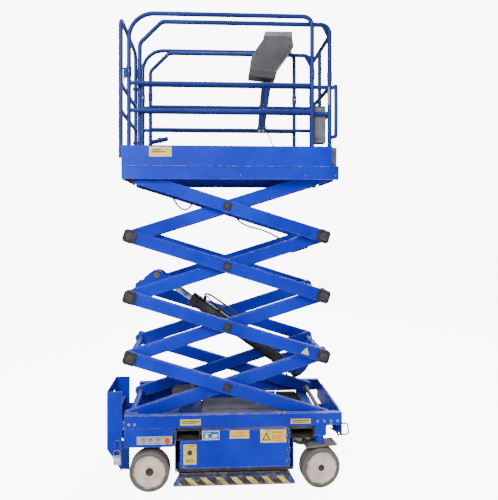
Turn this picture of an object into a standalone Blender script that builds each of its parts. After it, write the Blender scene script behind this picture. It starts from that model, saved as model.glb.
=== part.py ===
"""Electric scissor lift, half raised, as separate named pieces with their pivots.

Run with: blender --background --python part.py
Metres. X runs to the front, Z up, and the ground is z = 0. The near side is -Y and the far side +Y.
Every X below is measured from the middle of the scissor; the last step moves the origin to the base's centre.
"""

import math

import bmesh
import bpy
from mathutils import Matrix, Vector

# Scissor
STAGES = 4
ARM_LENGTH = 1.5662
REST_ANGLE = math.radians(17.347)
LOW_PIN_Z = 0.530
ARM_DEPTH = 0.100
ARM_WIDTH = 0.045
ARM_WALL = 0.006
ARM_END = 0.046
ARM_CHAMFER = 0.014
ARM_EDGE = 0.006
ARM_GAP = 0.008
OUTER_FACE_Y = 0.330
PIN_RADIUS = 0.018
PIN_CLEARANCE = 0.0012
HEAD_RADIUS = 0.027
HEAD_THICKNESS = 0.005
SHAFT_RADIUS = 0.028
BOSS_LENGTH = 0.110
DRAIN_RADIUS = 0.006
PIN_PROUD = 0.0015
STUB_OVERLAP = 0.010
COLLAR_GAP = 0.0005
COLLAR_LENGTH = 0.010
ROLLER_FACE_GAP = 0.0105

# Lift cylinder, placed along and off the arms that carry it
LOWER_LUG_ALONG = 0.560
LOWER_LUG_OFFSET = -0.150
UPPER_LUG_ALONG = -0.570
UPPER_LUG_OFFSET = 0.085
LUG_THICKNESS = 0.014
LUG_RADIUS = 0.038
LUG_PIN_RADIUS = 0.020
LUG_PIN_REACH = 0.003
LUG_MARGIN = 0.010
EYE_WIDTH = 0.112
EYE_RADIUS = 0.034
EYE_SIDE_GAP = 0.006
BARREL_RADIUS = 0.050
BARREL_LENGTH = 1.070
BARREL_BOTTOM = 0.090
EYE_INSET = 0.020
GLAND_RADIUS = 0.056
WELD_DEPTH = 0.004
GLAND_LENGTH = 0.050
ROD_RADIUS = 0.026
ROD_CLEARANCE = 0.001
ROD_FOOT = 0.290
ROD_INSET = 0.010

# Chassis
HALF_WIDTH = 0.380
RAIL_REAR_X = -0.780
RAIL_FRONT_X = 0.880
RAIL_WIDTH = 0.040
RAIL_HEIGHT = 0.096
RAIL_WALL = 0.005
ROLLER_GAP = 0.006
TOP_ROLLER_GAP = 0.005
RAIL_REAR_CAP = 0.020
RAIL_FRONT_CAP = 0.010
WELD_LAP = 0.002
BORE_LAP = 0.001
EAR_LAP = 0.010
SIDE_INSET = 0.006
FLOOR_INSET = 0.050
END_SHEET = 0.008
FRONT_SHEET_LOW_Z = 0.400
FRONT_SHEET_INSET = 0.001
BRACKET_STAY = 0.010
BRACKET_GAP = 0.006
BRACKET_WIDTH = 0.022
BRACKET_BACK = 0.026
BRACKET_FRONT = 0.060
BRACKET_TOP = 0.040
BAY_REAR_X = -0.395
BAY_FRONT_X = 0.500
BAY_FLOOR_Z = 0.145
PLATE = 0.006
BEAM_TOP_Z = 0.463
PANEL_FRONT_X = -0.413
PANEL_LOW_Z = 0.345
DOOR_REAR_X = -0.361
DOOR_FRONT_X = 0.475
DOOR_LOW_Z = 0.172
DOOR_TOP_Z = 0.466
DOOR_NOTCH_X = -0.195
DOOR_NOTCH_Z = 0.384
DOOR_DEPTH = 0.022
SHEET = 0.003
SKIN_INSET = 0.002
BATTERY_LOW = (-0.330, -0.325)
BATTERY_HIGH = (0.380, -0.045, 0.365)
POWER_LOW = (-0.300, 0.045)
POWER_HIGH = (0.340, 0.325, 0.320)
MOTOR_SPOT = (0.0, 0.185)
MOTOR_TOP_Z = 0.372
MOTOR_SUNK = 0.010
MOTOR_RADIUS = 0.070
COVER_Z = 0.418
COVER_LOW_Z = 0.380
COVER_HALF_WIDTH = 0.355
COVER_GAP = 0.004
RIB_LAP = 0.0025

# Ground controls
PLATE_REAR_X = -0.685
PLATE_FRONT_X = -0.420
PLATE_LOW_Z = 0.362
PLATE_TOP_Z = 0.424
PLATE_SHEET = 0.0015
SWITCH_Z = 0.393
SWITCH_XS = (-0.640, -0.585, -0.530)
SWITCH_RADIUS = 0.013
SWITCH_REACH = 0.012
STOP_X = -0.456
STOP_STEM_RADIUS = 0.010
STOP_STEM_REACH = 0.010
STOP_CAP_RADIUS = 0.019
STOP_CAP_FROM = 0.008
STOP_CAP_REACH = 0.017

# Fork pockets
POCKET_REAR_X = -0.391
POCKET_FRONT_X = 0.482
POCKET_WIDTH = 0.180
POCKET_LOW_Z = 0.388
POCKET_TOP_Z = 0.463
POCKET_WALL = 0.004
WINDOW_REAR_X = 0.535
WINDOW_FRONT_X = 0.652
WINDOW_HALF_WIDTH = 0.096

# Wheels and steering
WHEEL_RADIUS = 0.1525
TYRE_WIDTH = 0.100
TYRE_THICKNESS = 0.034
REAR_WHEEL_X = -0.592
FRONT_WHEEL_X = 0.715
HUB_RADIUS = 0.034
REST_STEER = math.radians(8)
KINGPIN_RADIUS = 0.026
YOKE_LOW_Z = 0.318
YOKE_THICKNESS = 0.014
YOKE_HALF_LENGTH = 0.125
YOKE_HALF_WIDTH = 0.052
STEER_ARM = 0.118
TIE_ROD_RADIUS = 0.011
AXLE_RADIUS = 0.022
AXLE_CLEARANCE = 0.001
AXLE_INSET = 0.012
TYRE_EDGE = 0.012
TYRE_SIDE_STEP = 0.004
RIM_INSET = 0.006
RIM_LIP = 0.010
RIM_DISH = 0.018
RIM_ROOT = 0.005
HUB_FOOT = 0.022
HUB_SLOPE = 0.010
HUB_STEP = 0.008
HUB_SHOULDER = 0.002
HUB_PROUD = 0.001
REAR_BEAM_HALF = 0.035
REAR_BEAM_REACH = 0.235
MOTOR_DRUM_RADIUS = 0.055
HANGER_Y = 0.190
HANGER_THICKNESS = 0.012
HANGER_HALF_LENGTH = 0.060
HANGER_DROP = 0.040
DRUM_LAP = 0.010
AXLE_START = 0.005
FRONT_BEAM_HALF = 0.045
FRONT_BEAM_REACH = 0.372
FRONT_BEAM_LOW_Z = 0.400
KINGPIN_TOP_Z = 0.436
KINGPIN_SHOULDER = 0.006
KINGPIN_COLLAR = 0.010
COLLAR_LAP = 0.010
YOKE_GAP = 0.005
LEG_GAP = 0.006
LEG_THICKNESS = 0.014
LEG_HALF_WIDTH = 0.045
LEG_DROP = 0.040
BALL_RADIUS = 0.007
BALL_HEIGHT = 0.028
TIE_ROD_LIFT = 0.016
TIE_EYE_RADIUS = 0.017
TIE_EYE_HALF_HEIGHT = 0.010

# Pothole guards
GUARD_REAR_X = -0.372
GUARD_FRONT_X = 0.480
GUARD_FLARE = 0.046
GUARD_HINGE_Z = 0.118
GUARD_LOW_Z = 0.024
GUARD_THICKNESS = 0.008
GUARD_Y = 0.352
GUARD_TOE = 0.012
GUARD_HEEL = 0.010
GUARD_ROLL_RADIUS = 0.010

# Ends of the chassis
LADDER_REAR_X = -0.955
LADDER_FRONT_X = -0.835
LADDER_HALF_WIDTH = 0.177
LADDER_TOP_Z = 0.690
LADDER_CORNER_Z = 0.233
LADDER_LOW_Z = 0.062
STEP_WIDTH = 0.230
STEP_HEIGHT = 0.085
STEP_ZS = (0.300, 0.520)
SHELF_DROP = 0.008
SHELF_REACH = 0.085
LADDER_SHEET = 0.004
LADDER_LIP = 0.008
LADDER_FOOT_LOW_Z = 0.380
LADDER_FOOT_TOP_Z = 0.460
REAR_RING_REAR_X = -0.893
REAR_RING_FRONT_X = -0.846
REAR_RING_LOW_Z = 0.220
REAR_RING_TOP_Z = 0.300
REAR_RING_BEND = 0.018
END_PLATE_HALF_WIDTH = 0.270
END_PLATE_TOP_Z = 0.566
END_PLATE_LOW_Z = 0.345
END_PLATE_THICKNESS = 0.010
END_PLATE_BEVEL = 0.025
WING_INSET = 0.030
WING_THICKNESS = 0.006
WING_TOP_Z = 0.396
WING_RISE = 0.010
WING_REACH = 0.060
RING_REACH = 0.098
RING_RADIUS = 0.006
RING_LOW_Z = 0.330
RING_TOP_Z = 0.425
RING_Y = -0.225
RING_BEND = 0.022
RING_LEAN = 0.010

# Platform
DECK_TOP_Z = 2.472
DECK_REAR_X = -0.803
DECK_FRONT_X = 0.857
DECK_HALF_WIDTH = 0.371
DECK_SHEET = 0.008
TRACK_WALL = 0.004
TRACK_HALF_HEIGHT = 0.030
TOE_HEIGHT = 0.150
TOE_FRONT_X = 0.807
TOE_DROP = 0.005
DECK_END_SHEET = 0.006
DECK_END_GAP = 0.006
TRACK_REAR_CAP = 0.020
TRACK_FRONT_CAP = 0.008
TRACK_INNER_GAP = 0.007
PIVOT_BLOCK_GAP = 0.009
PIVOT_BLOCK_BACK = 0.027
PIVOT_BLOCK_FRONT = 0.030
EXTENSION_HALF_WIDTH = 0.3295
EXTENSION_SHEET = 0.006
EXTENSION_REAR_X = -0.720
SLIDE_GAP = 0.0055
EXTENSION_FRONT_GAP = 0.004

# Guardrails
RAIL_TUBE = 0.017
MID_TUBE = 0.01598
RAIL_TOP = 1.154
MID_HIGH = 0.625
MID_LOW = 0.418
MAIN_RAIL_Y = 0.3535
EXT_RAIL_Y = 0.308
MAIN_REAR_X = -0.748
MAIN_FRONT_X = 0.653
EXT_REAR_X = -0.673
EXT_FRONT_X = 0.802
EXT_RAIL_DROP = 0.040
CORNER_RADIUS = 0.190
TIGHT_CORNER = 0.070
EXT_SLOPE = 0.170
EXT_CORNER = 0.060
GATE_CORNER = 0.060
GATE_X = -0.812
GATE_HALF_WIDTH = 0.338
GATE_TOP = 1.120
GATE_LOW = 0.060
LUG_CLEARANCE = 0.0015
GATE_KICK = 0.003
HINGE_HEIGHTS = ((0.290, 0.310), (0.780, 0.800))
HINGE_WALL = 0.010
HINGE_BACK = 0.004
HINGE_INNER = 0.022
HINGE_OUTER = 0.030
LATCH_LOW = 0.660
LATCH_HIGH = 0.740
LATCH_GAP = 0.006
LATCH_HALF_WIDTH = 0.004

# Controls
CONSOLE_NEAR_Y = 0.150
CONSOLE_FAR_Y = 0.285
CONSOLE_OUTLINE = (
    (0.356, 3.731),
    (0.596, 3.736),
    (0.596, 3.683),
    (0.610, 3.603),
    (0.453, 3.378),
    (0.444, 3.315),
    (0.213, 3.339),
    (0.239, 3.525),
    (0.347, 3.678),
)
CONSOLE_INSET = 0.008
POST_TOP_Z = 3.325
POST_THICKNESS = 0.012
POST_SLANT = 0.010
POST_XS = (0.300, 0.365, 0.428, 0.340)
FOOT_XS = (0.296, 0.372, 0.375, 0.300)
FOOT_HALF_HEIGHT = 0.020
FOOT_THICKNESS = 0.016
BOX_LOW_X = 0.690
BOX_HIGH_X = 0.776
BOX_LOW_Z = 2.665
BOX_HIGH_Z = 2.955
BOX_DEPTH = 0.070
BOX_WALL = 0.004
CABLE_RADIUS = 0.005
CABLE_KNOTS = (
    (0.330, 0.240, 3.318),
    (0.334, 0.236, 3.240),
    (0.338, 0.240, 3.120),
    (0.352, 0.248, 2.990),
    (0.392, 0.258, 2.850),
    (0.455, 0.268, 2.720),
    (0.520, 0.280, 2.610),
    (0.560, 0.292, 2.520),
    (0.566, 0.296, 2.4845),
)

GAP = 0.0003
CUT = 0.020
PIN_SIDES = 12
TUBE_SIDES = 8
WHEEL_SIDES = 24
CYLINDER_SIDES = 20
KNOB_SIDES = 16
COLLAR_SIDES = 24
DRUM_SIDES = 32
SMOOTH_ANGLE = math.radians(35)

# What follows from the sizes above
STAGE_RISE = ARM_LENGTH * math.sin(REST_ANGLE)
PIN_SPAN = ARM_LENGTH * math.cos(REST_ANGLE)
OUTER_Y = OUTER_FACE_Y - ARM_WIDTH / 2
INNER_Y = OUTER_Y - ARM_WIDTH - ARM_GAP
INNER_FACE_Y = INNER_Y - ARM_WIDTH / 2
HIGH_PIN_Z = LOW_PIN_Z + STAGES * STAGE_RISE
RAIL_LOW_Z = LOW_PIN_Z - RAIL_HEIGHT / 2
RAIL_TOP_Z = LOW_PIN_Z + RAIL_HEIGHT / 2
RAIL_INNER_Y = HALF_WIDTH - RAIL_WIDTH
ROLLER_RADIUS = RAIL_HEIGHT / 2 - RAIL_WALL - ROLLER_GAP
TOP_ROLLER_Y = DECK_HALF_WIDTH - TRACK_WALL - ROLLER_GAP
COLLAR_Y = OUTER_Y - ARM_WIDTH / 2 - COLLAR_GAP
TOP_ROLLER_RADIUS = TRACK_HALF_HEIGHT - TRACK_WALL - TOP_ROLLER_GAP

NEAR = -1
FAR = 1
SIDE_NAMES = {NEAR: "near", FAR: "far"}


# Materials


def make_material(name, colour, roughness, metallic=0.0):
    material = bpy.data.materials.new(name)
    material.use_nodes = True
    shader = material.node_tree.nodes["Principled BSDF"]
    shader.inputs["Base Color"].default_value = (*colour, 1.0)
    shader.inputs["Roughness"].default_value = roughness
    shader.inputs["Metallic"].default_value = metallic
    material.diffuse_color = (*colour, 1.0)
    return material


FINISHES = {
    "blue": ((0.012, 0.075, 0.58), 0.42, 0.0),
    "rail_blue": ((0.035, 0.065, 0.26), 0.45, 0.0),
    "dark_steel": ((0.09, 0.08, 0.07), 0.55, 0.8),
    "grey_steel": ((0.24, 0.24, 0.25), 0.5, 0.6),
    "black": ((0.012, 0.012, 0.014), 0.4, 0.0),
    "chrome": ((0.75, 0.75, 0.76), 0.12, 1.0),
    "cream": ((0.62, 0.58, 0.49), 0.7, 0.0),
    "tyre": ((0.50, 0.47, 0.40), 0.85, 0.0),
    "deck": ((0.20, 0.21, 0.22), 0.6, 0.5),
    "grey_cover": ((0.13, 0.12, 0.14), 0.65, 0.0),
    "plate": ((0.6, 0.6, 0.62), 0.35, 0.8),
    "red": ((0.55, 0.02, 0.015), 0.4, 0.0),
    "guard": ((0.70, 0.50, 0.03), 0.5, 0.0),
    "battery": ((0.03, 0.03, 0.035), 0.6, 0.0),
}


# Shapes


def object_from(bm, name, smooth=False):
    bmesh.ops.recalc_face_normals(bm, faces=bm.faces)
    mesh = bpy.data.meshes.new(name)
    bm.to_mesh(mesh)
    bm.free()
    if smooth:
        mesh.shade_smooth()
        mesh.set_sharp_from_angle(angle=SMOOTH_ANGLE)
    obj = bpy.data.objects.new(name, mesh)
    bpy.context.scene.collection.objects.link(obj)
    return obj


def block(low, high, name="block"):
    """A box between two corners."""
    bm = bmesh.new()
    low, high = Vector(low), Vector(high)
    bmesh.ops.create_cube(bm, size=1.0)
    bmesh.ops.scale(bm, vec=high - low, verts=bm.verts)
    bmesh.ops.translate(bm, vec=(low + high) / 2, verts=bm.verts)
    return object_from(bm, name)


def rod(start, end, radius, sides=PIN_SIDES, end_radius=None, name="rod"):
    """A round bar, or a cone where end_radius is given."""
    start, end = Vector(start), Vector(end)
    bm = bmesh.new()
    length = (end - start).length
    last = radius if end_radius is None else end_radius
    bmesh.ops.create_cone(
        bm, cap_ends=True, segments=sides, radius1=radius, radius2=last, depth=length
    )
    turn = Vector((0, 0, 1)).rotation_difference(end - start).to_matrix().to_4x4()
    bmesh.ops.transform(bm, matrix=Matrix.Translation((start + end) / 2) @ turn, verts=bm.verts)
    return object_from(bm, name, smooth=True)


def pin_across(x, z, y_from, y_to, radius, sides=PIN_SIDES):
    """A round bar along Y. Its flats match every other bar along Y."""
    bm = bmesh.new()
    bmesh.ops.create_cone(
        bm, cap_ends=True, segments=sides, radius1=radius, radius2=radius, depth=abs(y_to - y_from)
    )
    turn = Matrix.Rotation(math.radians(90), 4, "X")
    place = Matrix.Translation((x, (y_from + y_to) / 2, z))
    bmesh.ops.transform(bm, matrix=place @ turn, verts=bm.verts)
    return object_from(bm, "pin", smooth=True)


def prism(outline, y_from, y_to, name="prism"):
    """An outline in X and Z, extruded along Y."""
    bm = bmesh.new()
    face = bm.faces.new([bm.verts.new((x, y_from, z)) for x, z in outline])
    grown = bmesh.ops.extrude_face_region(bm, geom=[face])
    moved = [item for item in grown["geom"] if isinstance(item, bmesh.types.BMVert)]
    bmesh.ops.translate(bm, vec=(0, y_to - y_from, 0), verts=moved)
    return object_from(bm, name)


def rounded_box_bar(length_from, length_to, y_from, y_to, depth, edge, name="bar"):
    """A bar along X with its four long edges rounded, centred on z = 0."""
    corners = []
    middle_y = (y_from + y_to) / 2
    half_y, half_z = abs(y_to - y_from) / 2, depth / 2
    for quarter in range(4):
        sign_y = 1 if quarter in (0, 3) else -1
        sign_z = 1 if quarter in (0, 1) else -1
        for step in range(2):
            angle = math.radians(90 * quarter + 90 * step)
            y = middle_y + sign_y * (half_y - edge) + edge * math.cos(angle)
            z = sign_z * (half_z - edge) + edge * math.sin(angle)
            corners.append((y, z))
    bm = bmesh.new()
    face = bm.faces.new([bm.verts.new((length_from, y, z)) for y, z in corners])
    grown = bmesh.ops.extrude_face_region(bm, geom=[face])
    moved = [item for item in grown["geom"] if isinstance(item, bmesh.types.BMVert)]
    bmesh.ops.translate(bm, vec=(length_to - length_from, 0, 0), verts=moved)
    return object_from(bm, name, smooth=True)


def rounded_path(corners, radius, steps=5):
    """The points of a line through corners, each inner corner turned by an arc of this radius."""
    corners = [Vector(corner) for corner in corners]
    radii = radius if isinstance(radius, (list, tuple)) else [radius] * (len(corners) - 2)
    points = [corners[0]]
    for before, corner, after, size in zip(corners, corners[1:], corners[2:], radii):
        into, out = (corner - before).normalized(), (after - corner).normalized()
        turn = into.angle(out)
        reach = size * math.tan(turn / 2)
        start, end = corner - into * reach, corner + out * reach
        axis = into.cross(out).normalized()
        centre = start + axis.cross(into) * size
        for step in range(steps + 1):
            spin = Matrix.Rotation(turn * step / steps, 3, axis)
            points.append(centre + spin @ (start - centre))
        if (points[-1] - end).length > 1e-6:
            points.append(end)
    points.append(corners[-1])
    return points


def tube(points, radius, sides=TUBE_SIDES, name="tube"):
    """A solid round bar bent along points."""
    points = [Vector(point) for point in points]
    bm = bmesh.new()
    rings = []
    side = None
    for index, point in enumerate(points):
        before = points[max(index - 1, 0)]
        after = points[min(index + 1, len(points) - 1)]
        into = (point - before).normalized() if index else (after - point).normalized()
        out = (after - point).normalized() if index < len(points) - 1 else into
        along = (into + out).normalized()
        if side is None:
            side = along.orthogonal().normalized()
            if abs(along.z) < 0.9:
                side = along.cross(Vector((0, 0, 1))).normalized()
            else:
                side = along.cross(Vector((0, 1, 0))).normalized()
        side = (side - along * side.dot(along)).normalized()
        up = along.cross(side)
        bend = into.cross(out)
        stretch = 1.0 / max(into.dot(along), 0.5)
        ring = []
        for step in range(sides):
            angle = 2 * math.pi * (step + 0.5) / sides
            offset = (side * math.cos(angle) + up * math.sin(angle)) * radius
            if bend.length > 1e-9:
                across = bend.normalized().cross(along)
                offset += across * offset.dot(across) * (stretch - 1.0)
            ring.append(bm.verts.new(point + offset))
        rings.append(ring)
    for one, two in zip(rings, rings[1:]):
        for step in range(sides):
            nxt = (step + 1) % sides
            bm.faces.new((one[step], one[nxt], two[nxt], two[step]))
    bm.faces.new(rings[0])
    bm.faces.new(rings[-1])
    return object_from(bm, name, smooth=True)


def combine(base, others, operation):
    """Base with the other shapes added or cut away. The others are used up."""
    for other in others:
        step = base.modifiers.new(operation.lower(), "BOOLEAN")
        step.operation = operation
        step.solver = "EXACT"
        step.object = other
        graph = bpy.context.evaluated_depsgraph_get()
        mesh = bpy.data.meshes.new_from_object(base.evaluated_get(graph))
        base.modifiers.remove(step)
        old = base.data
        base.data = mesh
        bpy.data.meshes.remove(old)
        bpy.data.objects.remove(other)
    return base


def join(pieces):
    return combine(pieces[0], pieces[1:], "UNION")


def cut(base, cutters):
    return combine(base, cutters, "DIFFERENCE")


def tidy_mesh(mesh):
    """Welds doubled points and drops slivers that a cut leaves."""
    bm = bmesh.new()
    bm.from_mesh(mesh)
    bmesh.ops.remove_doubles(bm, verts=bm.verts, dist=2e-6)
    bmesh.ops.dissolve_degenerate(bm, edges=bm.edges, dist=2e-6)
    bm.to_mesh(mesh)
    bm.free()


def finish(obj, name, finish_name, pivot=None, smooth=True):
    """Names a piece, gives it its material, and moves its origin to its joint."""
    obj.name = name
    obj.data.name = name
    tidy_mesh(obj.data)
    obj.data.materials.clear()
    colour, roughness, metallic = FINISHES[finish_name]
    obj.data.materials.append(make_material(name, colour, roughness, metallic))
    if smooth:
        obj.data.shade_smooth()
        obj.data.set_sharp_from_angle(angle=SMOOTH_ANGLE)
    if pivot is not None:
        spot = Vector(pivot)
        obj.data.transform(Matrix.Translation(-spot))
        obj.location = spot
    return obj


def spin_about(piece, centre, angle, axis="Z"):
    spot = Vector(centre)
    spin = Matrix.Rotation(angle, 4, axis)
    piece.data.transform(Matrix.Translation(spot) @ spin @ Matrix.Translation(-spot))
    return piece


# Scissor


def stage_centre(stage):
    return Vector((0.0, 0.0, LOW_PIN_Z + (stage + 0.5) * STAGE_RISE))


def level_pin(level, end):
    """The pin at a level, at the rear (end -1) or the front (end 1)."""
    return Vector((end * PIN_SPAN / 2, 0.0, LOW_PIN_Z + level * STAGE_RISE))


def arm_blank(side_y, bored_at):
    """One arm in its own frame: along X, middle at the origin, with its bores."""
    half = ARM_LENGTH / 2
    y_from, y_to = side_y - ARM_WIDTH / 2, side_y + ARM_WIDTH / 2
    arm = rounded_box_bar(-half - ARM_END, half + ARM_END, y_from, y_to, ARM_DEPTH, ARM_EDGE)
    hollows = []
    for sign in (-1, 1):
        near_end, far_end = BOSS_LENGTH / 2, half + ARM_END - BOSS_LENGTH
        low = (min(sign * near_end, sign * far_end), y_from + ARM_WALL, -ARM_DEPTH / 2 + ARM_WALL)
        high = (max(sign * near_end, sign * far_end), y_to - ARM_WALL, ARM_DEPTH / 2 - ARM_WALL)
        hollows.append(block(low, high))
        drain_x = sign * (far_end - 0.060)
        hollows.append(
            rod((drain_x, side_y, -ARM_DEPTH), (drain_x, side_y, -0.02), DRAIN_RADIUS, sides=12)
        )
    # Cut corners let the ends swing clear of the deck and the beams
    for sign in (-1, 1):
        for up in (-1, 1):
            tip = half + ARM_END
            corner = [
                (sign * (tip - ARM_CHAMFER), up * (ARM_DEPTH / 2 + CUT)),
                (sign * (tip - ARM_CHAMFER), up * ARM_DEPTH / 2),
                (sign * tip, up * (ARM_DEPTH / 2 - ARM_CHAMFER)),
                (sign * (tip + CUT), up * (ARM_DEPTH / 2 - ARM_CHAMFER)),
                (sign * (tip + CUT), up * (ARM_DEPTH / 2 + CUT)),
            ]
            hollows.append(prism(corner, y_from - CUT, y_to + CUT))
    arm = cut(arm, hollows)
    bores = []
    for x in bored_at:
        bores.append(pin_across(x, 0, y_from - CUT, y_to + CUT, PIN_RADIUS + PIN_CLEARANCE))
    return cut(arm, bores)


def place_arm(obj, name, joint_along, joint_point, slope):
    """Turns an arm to its slope, with its origin on its joint."""
    obj.data.transform(Matrix.Translation((-joint_along, 0, 0)))
    obj.rotation_euler = (0, -slope, 0)
    obj.location = joint_point
    return finish(obj, name, "blue")


def outer_arm(stage, side):
    """Outer arms run from the low front pin to the high rear pin."""
    arm = arm_blank(side * OUTER_Y, (-ARM_LENGTH / 2, 0.0, ARM_LENGTH / 2))
    if stage % 2 == 0:
        along, point = 0.0, stage_centre(stage)
    else:
        along, point = ARM_LENGTH / 2, level_pin(stage, 1)
    name = f"outer_arm_{stage + 1}_{SIDE_NAMES[side]}"
    return place_arm(arm, name, along, point, -REST_ANGLE)


def stub(along, side, reach):
    """A pin welded in an inner arm, through its outer arm, with a head."""
    start = side * (INNER_Y - ARM_WIDTH / 4)
    end = side * reach
    pin = pin_across(along, 0, start, end, PIN_RADIUS)
    head = pin_across(along, 0, end, end + side * HEAD_THICKNESS, HEAD_RADIUS)
    return [pin, head]


def lug_plates(along, offset, shaft_along):
    """Two cheeks on an arm's end shaft, and the short pins they hold."""
    pieces = []
    inner = EYE_WIDTH / 2 + EYE_SIDE_GAP
    tip = Vector((along, offset))
    root = Vector((shaft_along, 0.0))
    away = (tip - root).normalized()
    across = Vector((-away.y, away.x))
    outline = []
    for step in range(6):
        angle = math.radians(-90 + 180 * step / 5)
        outline.append(tip + (away * math.cos(angle) + across * math.sin(angle)) * LUG_RADIUS)
    root_radius = SHAFT_RADIUS + LUG_MARGIN
    for step in range(4):
        angle = math.radians(90 + 180 * step / 3)
        outline.append(root + (away * math.cos(angle) + across * math.sin(angle)) * root_radius)
    for side in (NEAR, FAR):
        pieces.append(prism([(p.x, p.y) for p in outline], side * inner, side * (inner + LUG_THICKNESS)))
        pin_from, pin_to = inner - LUG_PIN_REACH, inner + LUG_THICKNESS + LUG_MARGIN
        pieces.append(pin_across(along, offset, side * pin_from, side * pin_to, LUG_PIN_RADIUS))
    return pieces


def inner_frame(stage):
    """The inner pair of arms, from the low rear pin to the high front pin, with their shafts."""
    half = ARM_LENGTH / 2
    pieces = [arm_blank(side * INNER_Y, ()) for side in (NEAR, FAR)]
    frame = pieces[0]
    frame = join([frame, pin_across(-half, 0, -INNER_Y, INNER_Y, SHAFT_RADIUS), pieces[1]])
    extra = [pin_across(half, 0, -INNER_Y, INNER_Y, SHAFT_RADIUS)]
    outside = OUTER_FACE_Y + PIN_PROUD
    for side in (NEAR, FAR):
        extra += stub(0.0, side, outside)
        if stage > 0:
            extra += stub(-half, side, outside)
        if stage < STAGES - 1:
            extra += stub(half, side, outside)
    if stage == 0:
        for side in (NEAR, FAR):
            start, end = side * (INNER_Y - STUB_OVERLAP), side * (OUTER_FACE_Y + WELD_LAP)
            extra.append(pin_across(-half, 0, start, end, PIN_RADIUS))
        extra += lug_plates(LOWER_LUG_ALONG, LOWER_LUG_OFFSET, half)
    if stage == 2:
        extra += lug_plates(UPPER_LUG_ALONG, UPPER_LUG_OFFSET, -half)
    if stage == STAGES - 1:
        for side in (NEAR, FAR):
            start, end = side * (INNER_Y - STUB_OVERLAP), side * (TOP_ROLLER_Y - TRACK_WALL)
            extra.append(pin_across(half, 0, start, end, PIN_RADIUS))
            start, end = side * (OUTER_FACE_Y + ROLLER_FACE_GAP), side * TOP_ROLLER_Y
            extra.append(pin_across(half, 0, start, end, TOP_ROLLER_RADIUS))
    frame = join([frame] + extra)
    if stage == 0:
        along, point = -half, level_pin(0, -1)
    elif stage == 2:
        along, point = -half, level_pin(2, -1)
    else:
        along, point = 0.0, stage_centre(stage)
    return place_arm(frame, f"inner_frame_{stage + 1}", along, point, REST_ANGLE)


def lower_roller_shaft():
    """The shaft at the sliding foot: it joins the lowest outer arms and rolls in the chassis rails."""
    spot = level_pin(0, 1)
    reach = HALF_WIDTH - RAIL_WALL - ROLLER_GAP
    shaft_reach = reach - WELD_DEPTH
    pieces = [pin_across(spot.x, spot.z, -shaft_reach, shaft_reach, PIN_RADIUS)]
    roller_from = OUTER_FACE_Y + ROLLER_FACE_GAP + WELD_LAP
    for side in (NEAR, FAR):
        pieces.append(pin_across(spot.x, spot.z, side * roller_from, side * reach, ROLLER_RADIUS))
        pieces.append(collar(spot, side))
    shaft = join(pieces)
    return finish(shaft, "lower_roller_shaft", "dark_steel", pivot=stage_centre(0))


def collar(spot, side):
    """The ring on a shaft, just inside an outer arm."""
    return pin_across(spot.x, spot.z, side * COLLAR_Y, side * (COLLAR_Y - COLLAR_LENGTH), HEAD_RADIUS)


def upper_pivot_shaft():
    """The shaft that holds the platform's rear on the top outer arms."""
    spot = level_pin(STAGES, -1)
    reach = DECK_HALF_WIDTH - TRACK_WALL - COLLAR_GAP
    pieces = [pin_across(spot.x, spot.z, -reach, reach, PIN_RADIUS)]
    for side in (NEAR, FAR):
        pieces.append(collar(spot, side))
    return finish(join(pieces), "upper_pivot_shaft", "dark_steel", pivot=spot)


# Cylinder


def arm_point(stage, along, offset):
    """A point given along and off an inner arm, in the world at rest."""
    centre = stage_centre(stage)
    cos, sin = math.cos(REST_ANGLE), math.sin(REST_ANGLE)
    return Vector((centre.x + along * cos - offset * sin, 0.0, centre.z + along * sin + offset * cos))


def cylinder_ends():
    lower = arm_point(0, LOWER_LUG_ALONG, LOWER_LUG_OFFSET)
    upper = arm_point(2, UPPER_LUG_ALONG, UPPER_LUG_OFFSET)
    return lower, upper


def lift_cylinder_barrel():
    lower, upper = cylinder_ends()
    along = (upper - lower).normalized()
    gland_from = BARREL_LENGTH - GLAND_LENGTH
    eye = pin_across(lower.x, lower.z, -EYE_WIDTH / 2, EYE_WIDTH / 2, EYE_RADIUS)
    body = rod(lower + along * EYE_INSET, lower + along * gland_from, BARREL_RADIUS, CYLINDER_SIDES)
    gland = rod(
        lower + along * (gland_from - WELD_DEPTH),
        lower + along * BARREL_LENGTH,
        GLAND_RADIUS,
        CYLINDER_SIDES,
    )
    bore = rod(
        lower + along * BARREL_BOTTOM,
        lower + along * (BARREL_LENGTH + CUT),
        ROD_RADIUS + ROD_CLEARANCE,
        CYLINDER_SIDES,
    )
    barrel = cut(join([body, eye, gland]), [bore])
    return finish(barrel, "lift_cylinder_barrel", "black", pivot=lower)


def lift_cylinder_rod():
    lower, upper = cylinder_ends()
    along = (upper - lower).normalized()
    stem = rod(lower + along * ROD_FOOT, upper - along * ROD_INSET, ROD_RADIUS, CYLINDER_SIDES)
    eye = pin_across(upper.x, upper.z, -EYE_WIDTH / 2, EYE_WIDTH / 2, EYE_RADIUS)
    return finish(join([stem, eye]), "lift_cylinder_rod", "chrome", pivot=upper)


# Chassis


def side_rail(side):
    """A channel with its open side inwards, in which the lower rollers run."""
    y_out, y_in = side * HALF_WIDTH, side * RAIL_INNER_Y
    low = (RAIL_REAR_X, min(y_out, y_in), RAIL_LOW_Z)
    high = (RAIL_FRONT_X, max(y_out, y_in), RAIL_TOP_Z)
    rail = block(low, high)
    web = side * (HALF_WIDTH - RAIL_WALL)
    mouth = side * (RAIL_INNER_Y - CUT)
    hollow = block(
        (RAIL_REAR_X + RAIL_REAR_CAP, min(web, mouth), RAIL_LOW_Z + RAIL_WALL),
        (RAIL_FRONT_X - RAIL_FRONT_CAP, max(web, mouth), RAIL_TOP_Z - RAIL_WALL),
    )
    return cut(rail, [hollow])


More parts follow.
